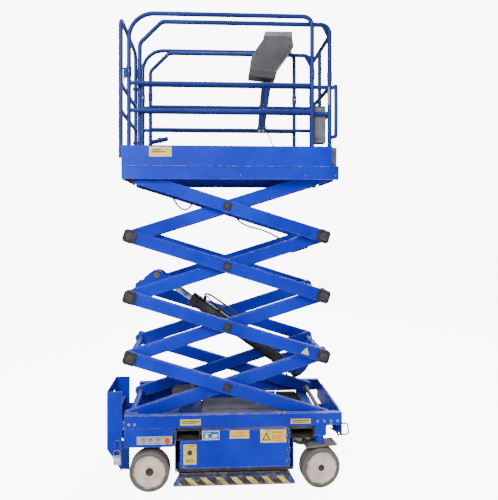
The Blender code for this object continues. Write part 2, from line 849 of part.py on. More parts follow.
def bay_walls():
    """The two bulkheads of the battery bay, their ears under the rails, and the bay's floor."""
    under = RAIL_LOW_Z + RAIL_WALL / 2
    reach = HALF_WIDTH - SIDE_INSET
    pieces = []
    for x in (BAY_REAR_X - PLATE, BAY_FRONT_X):
        pieces.append(block((x, -reach, BAY_FLOOR_Z), (x + PLATE, reach, BEAM_TOP_Z)))
        for side in (NEAR, FAR):
            ear = sorted((side * (RAIL_INNER_Y + SHEET), side * reach))
            low = BEAM_TOP_Z - EAR_LAP
            pieces.append(block((x, ear[0], low), (x + PLATE, ear[1], under)))
    floor_reach = reach - FLOOR_INSET
    floor_low = (BAY_REAR_X - PLATE / 2, -floor_reach, BAY_FLOOR_Z)
    floor_high = (BAY_FRONT_X + PLATE / 2, floor_reach, BAY_FLOOR_Z + PLATE)
    pieces.append(block(floor_low, floor_high))
    return pieces


def chassis_ends():
    """The shelf over the rear wheels, and the plate across each end."""
    under = RAIL_LOW_Z + RAIL_WALL / 2
    reach = HALF_WIDTH - SIDE_INSET
    shelf_low = (RAIL_REAR_X + SHEET, -reach, PANEL_LOW_Z)
    shelf_high = (BAY_REAR_X - PLATE / 2, reach, PANEL_LOW_Z + PLATE)
    rear = RAIL_REAR_X + WELD_LAP
    rear_back = rear + END_SHEET
    pieces = [block(shelf_low, shelf_high)]
    pieces.append(block((rear, -reach, PANEL_LOW_Z), (rear_back, reach, BEAM_TOP_Z)))
    for side in (NEAR, FAR):
        ear = sorted((side * (RAIL_INNER_Y + WELD_DEPTH), side * reach))
        low = BEAM_TOP_Z - EAR_LAP
        pieces.append(block((rear, ear[0], low), (rear_back, ear[1], under)))
    front_reach = HALF_WIDTH - FRONT_SHEET_INSET
    front_low = (RAIL_FRONT_X - END_SHEET, -front_reach, FRONT_SHEET_LOW_Z)
    pieces.append(block(front_low, (RAIL_FRONT_X, front_reach, RAIL_TOP_Z - WELD_LAP)))
    return pieces


def pivot_brackets():
    """The brackets for the lowest fixed pivots, outside the inner arms, each with its stay."""
    pivot = level_pin(0, -1)
    low = PANEL_LOW_Z + WELD_LAP
    inner = INNER_Y + ARM_WIDTH / 2 + BRACKET_GAP
    stay_rear = pivot.x - BRACKET_BACK + WELD_LAP
    stay_front = stay_rear + BRACKET_STAY
    pieces = []
    for side in (NEAR, FAR):
        ear = sorted((side * inner, side * (inner + BRACKET_WIDTH)))
        high = (pivot.x + BRACKET_FRONT, ear[1], LOW_PIN_Z + BRACKET_TOP)
        pieces.append(block((pivot.x - BRACKET_BACK, ear[0], low), high))
        stay = sorted((side * (inner + WELD_DEPTH), side * (RAIL_INNER_Y + WELD_DEPTH)))
        pieces.append(block((stay_rear, stay[0], low), (stay_front, stay[1], RAIL_LOW_Z + WELD_DEPTH)))
    return pieces


def chassis_frame():
    """Rails, bulkheads, floor and end members, welded together."""
    walls = bay_walls()
    frame = join([side_rail(NEAR)] + walls + [side_rail(FAR)] + chassis_ends() + pivot_brackets())
    pivot = level_pin(0, -1)
    bores = []
    for side in (NEAR, FAR):
        bore_from, bore_to = INNER_FACE_Y + ARM_WIDTH + BORE_LAP, OUTER_FACE_Y + WELD_DEPTH
        y_pair = sorted((side * bore_from, side * bore_to))
        bores.append(pin_across(pivot.x, pivot.z, y_pair[0], y_pair[1], PIN_RADIUS + PIN_CLEARANCE))
    for x in (POCKET_REAR_X, POCKET_FRONT_X):
        low = (x - GAP, -HALF_WIDTH - CUT, POCKET_LOW_Z - GAP)
        high = (x + POCKET_WIDTH + GAP, HALF_WIDTH + CUT, POCKET_TOP_Z + GAP)
        bores.append(block(low, high))
    return finish(cut(frame, bores), "chassis_frame", "blue", smooth=False)


def fork_pocket(x, name):
    reach = HALF_WIDTH - POCKET_WALL
    outer = block((x, -reach, POCKET_LOW_Z), (x + POCKET_WIDTH, reach, POCKET_TOP_Z))
    hollow = block(
        (x + POCKET_WALL, -HALF_WIDTH - CUT, POCKET_LOW_Z + POCKET_WALL),
        (x + POCKET_WIDTH - POCKET_WALL, HALF_WIDTH + CUT, POCKET_TOP_Z - POCKET_WALL),
    )
    hollows = [hollow]
    if x == POCKET_FRONT_X:
        # The folded cylinder's lug dips into this window
        hollows.append(
            block(
                (WINDOW_REAR_X, -WINDOW_HALF_WIDTH, POCKET_TOP_Z - CUT),
                (WINDOW_FRONT_X, WINDOW_HALF_WIDTH, POCKET_TOP_Z + CUT),
            )
        )
    return finish(cut(outer, hollows), name, "dark_steel", smooth=False)


def side_panel(side):
    """The folded sheet over the rear wheel; the ground controls are in the near one."""
    y_out = side * (HALF_WIDTH - SKIN_INSET)
    y_in = y_out - side * SHEET
    rear, front = RAIL_REAR_X, PANEL_FRONT_X
    top = RAIL_LOW_Z - GAP
    low = PANEL_LOW_Z - COVER_GAP
    face = prism([(rear, low), (front, low), (front, top), (rear, top)], y_out, y_in)
    clear = HALF_WIDTH - SIDE_INSET + GAP
    lip_from = sorted((y_out, side * clear))
    lip = block((rear, lip_from[0], low), (front, lip_from[1], low + SHEET))
    return finish(join([face, lip]), f"side_panel_{SIDE_NAMES[side]}", "blue", smooth=False)


def control_plate():
    """The ground control station's plate, with the shapes of its switches."""
    y = -(HALF_WIDTH - SKIN_INSET) - GAP
    plate = block((PLATE_REAR_X, y - PLATE_SHEET, PLATE_LOW_Z), (PLATE_FRONT_X, y, PLATE_TOP_Z))
    knobs = []
    for x in SWITCH_XS:
        knob_from, knob_to = y - PLATE_SHEET / 2, y - SWITCH_REACH
        knobs.append(pin_across(x, SWITCH_Z, knob_from, knob_to, SWITCH_RADIUS, KNOB_SIDES))
    return finish(join([plate] + knobs), "ground_control_plate", "plate", smooth=True)


def stop_button():
    y = -(HALF_WIDTH - SKIN_INSET) - GAP - PLATE_SHEET - GAP
    stem = pin_across(STOP_X, SWITCH_Z, y, y - STOP_STEM_REACH, STOP_STEM_RADIUS, KNOB_SIDES)
    cap_from, cap_to = y - STOP_CAP_FROM, y - STOP_CAP_REACH
    cap = pin_across(STOP_X, SWITCH_Z, cap_from, cap_to, STOP_CAP_RADIUS, CYLINDER_SIDES)
    return finish(join([stem, cap]), "emergency_stop_button", "red")


def module_door(side):
    """A swing-out door: a shallow pan with returned edges, hinged at its front edge."""
    y_out = side * (HALF_WIDTH - SKIN_INSET)
    y_back = y_out - side * DOOR_DEPTH
    outline = [
        (DOOR_REAR_X, DOOR_LOW_Z),
        (DOOR_FRONT_X, DOOR_LOW_Z),
        (DOOR_FRONT_X, DOOR_TOP_Z),
        (DOOR_NOTCH_X, DOOR_TOP_Z),
        (DOOR_NOTCH_X, DOOR_NOTCH_Z),
        (DOOR_REAR_X, DOOR_NOTCH_Z),
    ]
    door = prism(outline, y_out, y_back)
    inner = [
        (DOOR_REAR_X + SHEET, DOOR_LOW_Z + SHEET),
        (DOOR_FRONT_X - SHEET, DOOR_LOW_Z + SHEET),
        (DOOR_FRONT_X - SHEET, DOOR_TOP_Z - SHEET),
        (DOOR_NOTCH_X + SHEET, DOOR_TOP_Z - SHEET),
        (DOOR_NOTCH_X + SHEET, DOOR_NOTCH_Z - SHEET),
        (DOOR_REAR_X + SHEET, DOOR_NOTCH_Z - SHEET),
    ]
    hollow = prism(inner, y_out - side * SHEET, y_back - side * CUT)
    door = cut(door, [hollow])
    pivot = (DOOR_FRONT_X, y_out, 0.0)
    return finish(door, f"module_door_{SIDE_NAMES[side]}", "blue", pivot=pivot, smooth=False)


def battery_pack():
    low = (*BATTERY_LOW, BAY_FLOOR_Z + PLATE + GAP)
    return finish(block(low, BATTERY_HIGH), "battery_pack", "battery", smooth=False)


def power_unit():
    base = block((*POWER_LOW, BAY_FLOOR_Z + PLATE + GAP), POWER_HIGH)
    motor_low_z = POWER_HIGH[2] - MOTOR_SUNK
    motor = rod((*MOTOR_SPOT, motor_low_z), (*MOTOR_SPOT, MOTOR_TOP_Z), MOTOR_RADIUS, COLLAR_SIDES)
    return finish(join([base, motor]), "power_unit", "battery", smooth=True)


def tray_cover():
    """The grey lid over the bay, under the folded arms."""
    front = POCKET_FRONT_X - COVER_GAP
    rear = POCKET_REAR_X + POCKET_WIDTH + COVER_GAP
    half = COVER_HALF_WIDTH
    lid = block((rear, -half, COVER_Z), (front, half, COVER_Z + SHEET))
    ribs = []
    for x in (rear, front - SHEET):
        ribs.append(block((x, -half, COVER_LOW_Z), (x + SHEET, half, COVER_Z + RIB_LAP)))
    return finish(join([lid] + ribs), "tray_cover", "grey_cover", smooth=False)


def end_plate():
    low, high = END_PLATE_LOW_Z, END_PLATE_TOP_Z
    x_from = RAIL_FRONT_X + GAP
    x_to = x_from + END_PLATE_THICKNESS
    half = END_PLATE_HALF_WIDTH
    bevel = END_PLATE_BEVEL
    plate = block((x_from, -half, low), (x_to, half, high))
    corners = []
    for side in (NEAR, FAR):
        corner = block((x_from - CUT, -bevel, -bevel), (x_to + CUT, bevel, bevel))
        turn = Matrix.Rotation(math.radians(45), 4, "X")
        corner.data.transform(Matrix.Translation((0, side * half, low)) @ turn)
        corners.append(corner)
    plate = cut(plate, corners)
    wings = []
    wing_x = x_from + WELD_LAP
    outline = [(wing_x, low + WING_RISE), (wing_x, WING_TOP_Z), (x_from - WING_REACH, WING_TOP_Z)]
    for side in (NEAR, FAR):
        y = side * (half - WING_INSET)
        wings.append(prism(outline, y, y - side * WING_THICKNESS))
    return finish(join([plate] + wings + [tie_down_ring()]), "front_end_plate", "blue")


def tie_down_ring():
    """A bent round bar welded to the front plate, for lashing the machine down."""
    face = RAIL_FRONT_X + END_PLATE_THICKNESS
    x = face - WELD_LAP
    tip = face + RING_REACH - RING_RADIUS
    low_z = RING_LOW_Z + RING_RADIUS
    route = [
        (x, RING_Y, RING_TOP_Z),
        (tip - RING_LEAN, RING_Y, RING_TOP_Z),
        (tip, RING_Y, low_z),
        (x, RING_Y, low_z),
    ]
    return tube(rounded_path(route, RING_BEND), RING_RADIUS)


def ladder_shell():
    """The folded sheet of the rear panel, with its two toe holes cut."""
    outline = [
        (LADDER_REAR_X, LADDER_TOP_Z),
        (LADDER_REAR_X, LADDER_CORNER_Z),
        (LADDER_FRONT_X - LADDER_LIP, LADDER_LOW_Z),
        (LADDER_FRONT_X, LADDER_LOW_Z),
        (LADDER_FRONT_X, LADDER_TOP_Z),
    ]
    shell = prism(outline, -LADDER_HALF_WIDTH, LADDER_HALF_WIDTH)
    inner = [
        (LADDER_REAR_X + LADDER_SHEET, LADDER_TOP_Z + CUT),
        (LADDER_REAR_X + LADDER_SHEET, LADDER_CORNER_Z + WELD_LAP),
        (LADDER_FRONT_X - LADDER_LIP + WELD_LAP, LADDER_LOW_Z - CUT),
        (LADDER_FRONT_X + CUT, LADDER_LOW_Z - CUT),
        (LADDER_FRONT_X + CUT, LADDER_TOP_Z + CUT),
    ]
    inner_half = LADDER_HALF_WIDTH - LADDER_SHEET
    cutters = [prism(inner, -inner_half, inner_half)]
    for z in STEP_ZS:
        low = (LADDER_REAR_X - CUT, -STEP_WIDTH / 2, z)
        high = (LADDER_REAR_X + LADDER_LIP, STEP_WIDTH / 2, z + STEP_HEIGHT)
        cutters.append(block(low, high))
    return cut(shell, cutters)


def entry_ladder():
    """The rear panel: a folded sheet, open to the machine, with two toe holes."""
    shell = ladder_shell()
    # Cross shelves behind the toe holes, and the feet that bolt to the chassis
    extra = []
    shelf_half = LADDER_HALF_WIDTH - WELD_LAP
    for step_z in STEP_ZS:
        z = step_z - SHELF_DROP
        low = (LADDER_REAR_X + WELD_LAP, -shelf_half, z)
        extra.append(block(low, (LADDER_REAR_X + SHELF_REACH, shelf_half, z + LADDER_SHEET)))
    foot_rear = LADDER_FRONT_X - LADDER_SHEET
    foot_front = RAIL_REAR_X + WELD_LAP - GAP
    for side in (NEAR, FAR):
        outer = LADDER_HALF_WIDTH - LADDER_SHEET + SHEET
        foot = sorted((side * (LADDER_HALF_WIDTH - LADDER_SHEET), side * outer))
        extra.append(block((foot_rear, foot[0], LADDER_FOOT_LOW_Z), (foot_front, foot[1], LADDER_FOOT_TOP_Z)))
    return finish(join([shell] + extra + [rear_ring()]), "entry_ladder", "blue")


def rear_ring():
    """A bent bar welded to the near flange of the ladder."""
    y = -LADDER_HALF_WIDTH - RING_RADIUS / 2
    route = [
        (REAR_RING_REAR_X, y, REAR_RING_LOW_Z),
        (REAR_RING_REAR_X, y, REAR_RING_TOP_Z),
        (REAR_RING_FRONT_X, y, REAR_RING_TOP_Z),
        (REAR_RING_FRONT_X, y, REAR_RING_LOW_Z),
    ]
    return tube(rounded_path(route, REAR_RING_BEND), RING_RADIUS)


# Wheels, steering


def wheel_place(x, side):
    return Vector((x, side * (HALF_WIDTH - TYRE_WIDTH / 2), WHEEL_RADIUS))


def ring_profile(points, centre, steps=WHEEL_SIDES):
    """A closed outline of radius and offset, spun about the Y line through centre."""
    bm = bmesh.new()
    rings = []
    for step in range(steps):
        angle = 2 * math.pi * step / steps
        ring = []
        for radius, offset in points:
            x = centre.x + radius * math.cos(angle)
            z = centre.z + radius * math.sin(angle)
            ring.append(bm.verts.new((x, centre.y + offset, z)))
        rings.append(ring)
    count = len(points)
    for step in range(steps):
        one, two = rings[step], rings[(step + 1) % steps]
        for index in range(count):
            nxt = (index + 1) % count
            bm.faces.new((one[index], one[nxt], two[nxt], two[index]))
    return object_from(bm, "ring", smooth=True)


def tyre(x, side, name, steer=0.0):
    centre = wheel_place(x, side)
    half = TYRE_WIDTH / 2
    inner = WHEEL_RADIUS - TYRE_THICKNESS
    shoulder = WHEEL_RADIUS - TYRE_EDGE
    outline = [(inner, -half + TYRE_SIDE_STEP), (shoulder, -half)]
    for degrees in (45, 90):
        a = math.radians(degrees)
        across = -half + TYRE_EDGE - TYRE_EDGE * math.cos(a)
        outline.append((shoulder + TYRE_EDGE * math.sin(a), across))
    for degrees in (90, 45, 0):
        a = math.radians(degrees)
        across = half - TYRE_EDGE + TYRE_EDGE * math.cos(a)
        outline.append((shoulder + TYRE_EDGE * math.sin(a), across))
    outline.append((inner, half - TYRE_SIDE_STEP))
    ring = ring_profile(outline, centre)
    spin_about(ring, centre, steer)
    return finish(ring, name, "tyre", pivot=centre)


def rim(x, side, name, steer=0.0):
    """A dished disc with its hub."""
    centre = wheel_place(x, side)
    outer = WHEEL_RADIUS - TYRE_THICKNESS - GAP
    half = TYRE_WIDTH / 2 - RIM_INSET
    face = half - RIM_INSET
    bore = AXLE_RADIUS + AXLE_CLEARANCE
    dish = ring_profile(
        [
            (bore, side * RIM_ROOT),
            (outer, side * -half),
            (outer, side * half),
            (outer - RIM_LIP, side * half),
            (outer - RIM_DISH, side * (face - RIM_INSET)),
            (HUB_RADIUS + HUB_FOOT, side * (face - HUB_STEP)),
            (HUB_RADIUS + HUB_SLOPE, side * (face - HUB_SHOULDER)),
            (HUB_RADIUS, side * (half + HUB_PROUD)),
            (bore, side * (half + HUB_PROUD)),
        ],
        centre,
    )
    spin_about(dish, centre, steer)
    return finish(dish, name, "cream", pivot=centre)


def rear_axle():
    """The beam between the drive wheels, its motors and its hangers."""
    x, z = REAR_WHEEL_X, WHEEL_RADIUS
    half = REAR_BEAM_HALF
    beam = block((x - half, -REAR_BEAM_REACH, z - half), (x + half, REAR_BEAM_REACH, z + half))
    drum_from = REAR_BEAM_REACH - DRUM_LAP
    drum_to = HALF_WIDTH - TYRE_WIDTH - ROLLER_GAP
    axle_from = REAR_BEAM_REACH + AXLE_START
    hanger_low = z - HANGER_DROP
    extra = []
    for side in (NEAR, FAR):
        extra.append(pin_across(x, z, side * drum_from, side * drum_to, MOTOR_DRUM_RADIUS, DRUM_SIDES))
        extra.append(pin_across(x, z, side * axle_from, side * (HALF_WIDTH - AXLE_INSET), AXLE_RADIUS))
        y0, y1 = sorted((side * HANGER_Y, side * (HANGER_Y + HANGER_THICKNESS)))
        high = (x + HANGER_HALF_LENGTH, y1, PANEL_LOW_Z - GAP)
        extra.append(block((x - HANGER_HALF_LENGTH, y0, hanger_low), high))
    return finish(join([beam] + extra), "rear_axle", "dark_steel")


def front_axle():
    """The beam under the rails that carries both kingpins."""
    x = FRONT_WHEEL_X
    y = HALF_WIDTH - TYRE_WIDTH / 2
    half, reach, low = FRONT_BEAM_HALF, FRONT_BEAM_REACH, FRONT_BEAM_LOW_Z
    beam = block((x - half, -reach, low), (x + half, reach, POCKET_TOP_Z))
    collar_low = YOKE_LOW_Z + YOKE_THICKNESS + YOKE_GAP
    collar_high = low + COLLAR_LAP
    bore_top = KINGPIN_TOP_Z + WELD_DEPTH
    bore_radius = KINGPIN_RADIUS - KINGPIN_SHOULDER + PIN_CLEARANCE
    extra = []
    bores = []
    for side in (NEAR, FAR):
        ear = sorted((side * (RAIL_INNER_Y + WELD_LAP), side * reach))
        ear_low = (x - half, ear[0], POCKET_TOP_Z - RAIL_WALL)
        extra.append(block(ear_low, (x + half, ear[1], RAIL_LOW_Z - GAP)))
        spot = (x, side * y)
        extra.append(rod((*spot, collar_low), (*spot, collar_high), KINGPIN_RADIUS + KINGPIN_COLLAR))
        bores.append(rod((*spot, YOKE_LOW_Z), (*spot, bore_top), bore_radius))
    beam = join([beam] + extra)
    return finish(cut(beam, bores), "front_axle", "blue")


def steering_knuckle(side):
    """The yoke over a front wheel, its leg and stub axle, and its steering arm."""
    x = FRONT_WHEEL_X
    y = side * (HALF_WIDTH - TYRE_WIDTH / 2)
    top = YOKE_LOW_Z + YOKE_THICKNESS
    half_length, half_width = YOKE_HALF_LENGTH, YOKE_HALF_WIDTH
    yoke = block((x - half_length, y - half_width, YOKE_LOW_Z), (x + half_length, y + half_width, top))
    inner = y - side * (TYRE_WIDTH / 2 + LEG_GAP)
    leg_back = inner - side * LEG_THICKNESS
    leg_y = sorted((inner, leg_back))
    half = LEG_HALF_WIDTH
    leg = block((x - half, leg_y[0], WHEEL_RADIUS - LEG_DROP), (x + half, leg_y[1], top))
    bridge_y = sorted((leg_back, y))
    bridge = block((x - half, bridge_y[0], YOKE_LOW_Z), (x + half, bridge_y[1], top))
    pin = rod((x, y, top - WELD_DEPTH), (x, y, KINGPIN_TOP_Z), KINGPIN_RADIUS - KINGPIN_SHOULDER)
    axle_from, axle_to = inner - side * WELD_DEPTH, side * (HALF_WIDTH - AXLE_INSET)
    stub_axle = pin_across(x, WHEEL_RADIUS, axle_from, axle_to, AXLE_RADIUS)
    knuckle = join([yoke, bridge, leg, pin, stub_axle])
    spin_about(knuckle, (x, y, 0), REST_STEER)
    # The arm points to the rear when the wheels point ahead, and turns with them
    ball = (x - STEER_ARM * math.cos(REST_STEER), y - STEER_ARM * math.sin(REST_STEER))
    arm_pin = rod((*ball, top - WELD_DEPTH), (*ball, top + BALL_HEIGHT), BALL_RADIUS, KNOB_SIDES)
    knuckle = join([knuckle, arm_pin])
    return finish(knuckle, f"steering_knuckle_{SIDE_NAMES[side]}", "grey_steel", pivot=(x, y, 0.0))


def tie_rod():
    """The link between the two steering arms."""
    x = FRONT_WHEEL_X - STEER_ARM * math.cos(REST_STEER)
    y = HALF_WIDTH - TYRE_WIDTH / 2
    shift = -STEER_ARM * math.sin(REST_STEER)
    z = YOKE_LOW_Z + YOKE_THICKNESS + TIE_ROD_LIFT
    bar = rod((x, -y + shift, z), (x, y + shift, z), TIE_ROD_RADIUS, KNOB_SIDES)
    half = TIE_EYE_HALF_HEIGHT
    eyes = []
    bores = []
    for side in (NEAR, FAR):
        spot = (x, side * y + shift)
        eyes.append(rod((*spot, z - half), (*spot, z + half), TIE_EYE_RADIUS, CYLINDER_SIDES))
        bores.append(rod((*spot, z - CUT), (*spot, z + CUT), BALL_RADIUS + PIN_CLEARANCE, KNOB_SIDES))
    bar = join([bar] + eyes)
    return finish(cut(bar, bores), "tie_rod", "dark_steel", pivot=(x, -y + shift, z))


def pothole_guard(side):
    """The plate that drops close to the ground under the bay, with a flared end each way."""
    y = side * GUARD_Y
    y_in = y - side * GUARD_THICKNESS
    low, high = GUARD_LOW_Z, GUARD_HINGE_Z
    outline = [
        (GUARD_REAR_X - GUARD_FLARE, low + GUARD_TOE),
        (GUARD_REAR_X - GUARD_FLARE + GUARD_HEEL, low),
        (GUARD_FRONT_X + GUARD_FLARE - GUARD_HEEL, low),
        (GUARD_FRONT_X + GUARD_FLARE, low + GUARD_TOE),
        (GUARD_FRONT_X, high),
        (GUARD_REAR_X, high),
    ]
    plate = prism(outline, y, y_in)
    middle = y - side * GUARD_THICKNESS / 2
    roll = tube([(GUARD_REAR_X, middle, high), (GUARD_FRONT_X, middle, high)], GUARD_ROLL_RADIUS)
    pivot = (0.0, middle, high)
    return finish(join([plate, roll]), f"pothole_guard_{SIDE_NAMES[side]}", "guard", pivot=pivot)


# Platform


def track_channel(side):
    """The channel along one side of the platform, in which the top roller runs."""
    track_low, track_high = HIGH_PIN_Z - TRACK_HALF_HEIGHT, HIGH_PIN_Z + TRACK_HALF_HEIGHT
    top = DECK_TOP_Z - DECK_SHEET + WELD_LAP
    y_pair = sorted((side * (OUTER_FACE_Y + TRACK_INNER_GAP), side * DECK_HALF_WIDTH))
    channel = block((DECK_REAR_X, y_pair[0], track_low), (DECK_FRONT_X, y_pair[1], top))
    y_hollow = sorted((side * (DECK_HALF_WIDTH - TRACK_WALL), side * OUTER_FACE_Y))
    hollow = block(
        (DECK_REAR_X + TRACK_REAR_CAP, y_hollow[0], track_low + TRACK_WALL),
        (DECK_FRONT_X - TRACK_FRONT_CAP, y_hollow[1], track_high - TRACK_WALL),
    )
    return cut(channel, [hollow])


def platform_deck():
    """Side channels for the top rollers, cross members, and the floor."""
    track_low = HIGH_PIN_Z - TRACK_HALF_HEIGHT
    floor_low = DECK_TOP_Z - DECK_SHEET
    top = floor_low + WELD_LAP
    reach = DECK_HALF_WIDTH
    pieces = [block((DECK_REAR_X, -reach, floor_low), (DECK_FRONT_X, reach, DECK_TOP_Z))]
    for side in (NEAR, FAR):
        pieces.append(track_channel(side))
    end_reach = INNER_FACE_Y - DECK_END_GAP
    for x in (DECK_REAR_X, DECK_FRONT_X - DECK_END_SHEET):
        pieces.append(block((x, -end_reach, track_low), (x + DECK_END_SHEET, end_reach, top)))
    pivot = level_pin(STAGES, -1)
    web = reach - TRACK_WALL
    for side in (NEAR, FAR):
        y_pair = sorted((side * (OUTER_FACE_Y + PIVOT_BLOCK_GAP), side * (web + BORE_LAP)))
        low = (pivot.x - PIVOT_BLOCK_BACK, y_pair[0], track_low)
        pieces.append(block(low, (pivot.x + PIVOT_BLOCK_FRONT, y_pair[1], top)))
    deck = join(pieces)
    bores = []
    for side in (NEAR, FAR):
        y_pair = sorted((side * (OUTER_FACE_Y + BORE_LAP), side * web))
        bores.append(pin_across(pivot.x, pivot.z, y_pair[0], y_pair[1], PIN_RADIUS + PIN_CLEARANCE))
    return finish(cut(deck, bores), "platform_deck", "blue", smooth=False)


def toe_board(side):
    """A folded kick plate along one side of the main deck."""
    y_in = side * (DECK_HALF_WIDTH + GAP)
    y_out = y_in + side * SHEET
    low = DECK_TOP_Z - TOE_DROP
    high = DECK_TOP_Z + TOE_HEIGHT
    outline = [(DECK_REAR_X, low), (TOE_FRONT_X, low), (TOE_FRONT_X, high), (DECK_REAR_X, high)]
    board = prism(outline, y_in, y_out)
    return finish(board, f"toe_board_{SIDE_NAMES[side]}", "blue", smooth=False)


def extension_deck():
    """The roll-out deck: a plate that slides over the main deck, with its kick plates."""
    low = DECK_TOP_Z + SLIDE_GAP
    high = low + EXTENSION_SHEET
    half = EXTENSION_HALF_WIDTH
    front = DECK_FRONT_X - EXTENSION_FRONT_GAP
    toe_top = DECK_TOP_Z + TOE_HEIGHT
    pieces = [block((EXTENSION_REAR_X, -half, low), (front, half, high))]
    for side in (NEAR, FAR):
        y_pair = sorted((side * (half - SHEET), side * half))
        pieces.append(block((EXTENSION_REAR_X, y_pair[0], low), (front, y_pair[1], toe_top)))
    pieces.append(block((front - SHEET, -half, low), (front, half, toe_top)))
    return finish(join(pieces), "extension_deck", "deck", smooth=False)


def mid_rails(y, rear, front):
    """The two mid rails of a side guardrail."""
    rails = []
    for height in (MID_HIGH, MID_LOW):
        z = DECK_TOP_Z + height
        rails.append(tube([(rear, y, z), (front, y, z)], MID_TUBE))
    return rails


def gate_hinge(low, high):
    """One knuckle of the gate's hinge, on the far rear post. It gives the knuckle and its bore's cutter."""
    y = GATE_HALF_WIDTH
    lug = block((GATE_X - HINGE_BACK, y - HINGE_INNER, low), (MAIN_REAR_X, y + HINGE_OUTER, high))
    ring = rod((GATE_X, y, low), (GATE_X, y, high), RAIL_TUBE + HINGE_WALL, COLLAR_SIDES)
    bore_radius = RAIL_TUBE + LUG_CLEARANCE
    bore = rod((GATE_X, y, low - CUT), (GATE_X, y, high + CUT), bore_radius, COLLAR_SIDES)
    return [lug, ring], bore


def main_guardrail(side):
    """A bent outer tube with two mid rails. The far one carries the gate, the near one its stop."""
    y = side * MAIN_RAIL_Y
    floor = DECK_TOP_Z + GAP
    top = DECK_TOP_Z + RAIL_TOP
    path = [(MAIN_REAR_X, y, floor), (MAIN_REAR_X, y, top), (MAIN_FRONT_X, y, top), (MAIN_FRONT_X, y, floor)]
    outer = tube(rounded_path(path, [CORNER_RADIUS, TIGHT_CORNER], 6), RAIL_TUBE)
    pieces = [outer] + mid_rails(y, MAIN_REAR_X, MAIN_FRONT_X)
    name = f"main_guardrail_{SIDE_NAMES[side]}"
    if side == NEAR:
        stop_rear = GATE_X + RAIL_TUBE + LATCH_GAP
        low = (stop_rear, y - LATCH_HALF_WIDTH, DECK_TOP_Z + LATCH_LOW)
        pieces.append(block(low, (MAIN_REAR_X, y + LATCH_HALF_WIDTH, DECK_TOP_Z + LATCH_HIGH)))
        return finish(join(pieces), name, "rail_blue")
    bores = []
    for low, high in HINGE_HEIGHTS:
        knuckle, bore = gate_hinge(DECK_TOP_Z + low, DECK_TOP_Z + high)
        pieces += knuckle
        bores.append(bore)
    return finish(cut(join(pieces), bores), name, "rail_blue")


def extension_guardrail(side):
    y = side * EXT_RAIL_Y
    floor = DECK_TOP_Z + SLIDE_GAP + EXTENSION_SHEET + GAP
    top = DECK_TOP_Z + RAIL_TOP - EXT_RAIL_DROP
    path = [
        (EXT_REAR_X, y, floor),
        (EXT_REAR_X, y, top - EXT_SLOPE),
        (EXT_REAR_X + EXT_SLOPE, y, top),
        (EXT_FRONT_X, y, top),
        (EXT_FRONT_X, y, floor),
    ]
    outer = tube(rounded_path(path, [EXT_CORNER, EXT_CORNER, TIGHT_CORNER], 4), RAIL_TUBE)
    pieces = [outer] + mid_rails(y, EXT_REAR_X, EXT_FRONT_X)
    return finish(join(pieces), f"extension_guardrail_{SIDE_NAMES[side]}", "rail_blue")


def front_guardrail():
    """The end rail between the extension's corner posts."""
    half = EXT_RAIL_Y - RAIL_TUBE - GAP
    x = EXT_FRONT_X
    top = DECK_TOP_Z + RAIL_TOP - EXT_RAIL_DROP - TIGHT_CORNER - RAIL_TUBE
    pieces = []
    for height in (top - DECK_TOP_Z, MID_HIGH, MID_LOW):
        z = DECK_TOP_Z + height
        pieces.append(tube([(x, -half, z), (x, half, z)], MID_TUBE))
    low = DECK_TOP_Z + MID_LOW
    middle = tube([(x, 0.0, low), (x, 0.0, top)], MID_TUBE)
    return finish(join([middle] + pieces), "front_guardrail", "rail_blue")


def entry_gate():
    """The loop across the rear, hung on the far corner post."""
    low, top = DECK_TOP_Z + GATE_LOW, DECK_TOP_Z + GATE_TOP
    y = GATE_HALF_WIDTH
    path = [(GATE_X, y, low), (GATE_X, y, top), (GATE_X, -y, top), (GATE_X, -y, low)]
    pieces = [tube(rounded_path(path, GATE_CORNER, 5), RAIL_TUBE)]
    for height in (GATE_LOW + RAIL_TUBE, MID_LOW, MID_HIGH):
        z = DECK_TOP_Z + height
        pieces.append(tube([(GATE_X, -y, z), (GATE_X, y, z)], MID_TUBE))
    half = GATE_KICK / 2
    pieces.append(block((GATE_X - half, -y, low), (GATE_X + half, y, DECK_TOP_Z + TOE_HEIGHT)))
    return finish(join(pieces), "entry_gate", "rail_blue", pivot=(GATE_X, y, low))


def control_console():
    """A hood of folded sheet around the controls, open on its far side."""
    shell = prism(list(CONSOLE_OUTLINE), CONSOLE_NEAR_Y, CONSOLE_FAR_Y)
    centre = sum((Vector(point) for point in CONSOLE_OUTLINE), Vector((0.0, 0.0))) / len(CONSOLE_OUTLINE)
    inner = []
    for x, z in CONSOLE_OUTLINE:
        away = (Vector((x, z)) - centre).normalized() * CONSOLE_INSET
        inner.append((x - away.x, z - away.y))
    hollow = prism(inner, CONSOLE_NEAR_Y + SHEET, CONSOLE_FAR_Y + CUT)
    return finish(cut(shell, [hollow]), "control_console", "grey_cover", smooth=False)


def console_bracket():
    """The post that carries the console on the far mid rails."""
    y_face = EXT_RAIL_Y - RAIL_TUBE - GAP
    rail_z = DECK_TOP_Z + MID_LOW
    low, high = rail_z - POST_THICKNESS, POST_TOP_Z - POST_SLANT
    heights = (low, low, high, POST_TOP_Z - SHEET)
    post = prism(list(zip(POST_XS, heights)), y_face, y_face - POST_THICKNESS)
    foot_low, foot_high = rail_z - FOOT_HALF_HEIGHT, rail_z + FOOT_HALF_HEIGHT
    heights = (foot_low, foot_low, foot_high, foot_high)
    foot = prism(list(zip(FOOT_XS, heights)), y_face, y_face - FOOT_THICKNESS)
    return finish(join([post, foot]), "console_bracket", "rail_blue", smooth=False)


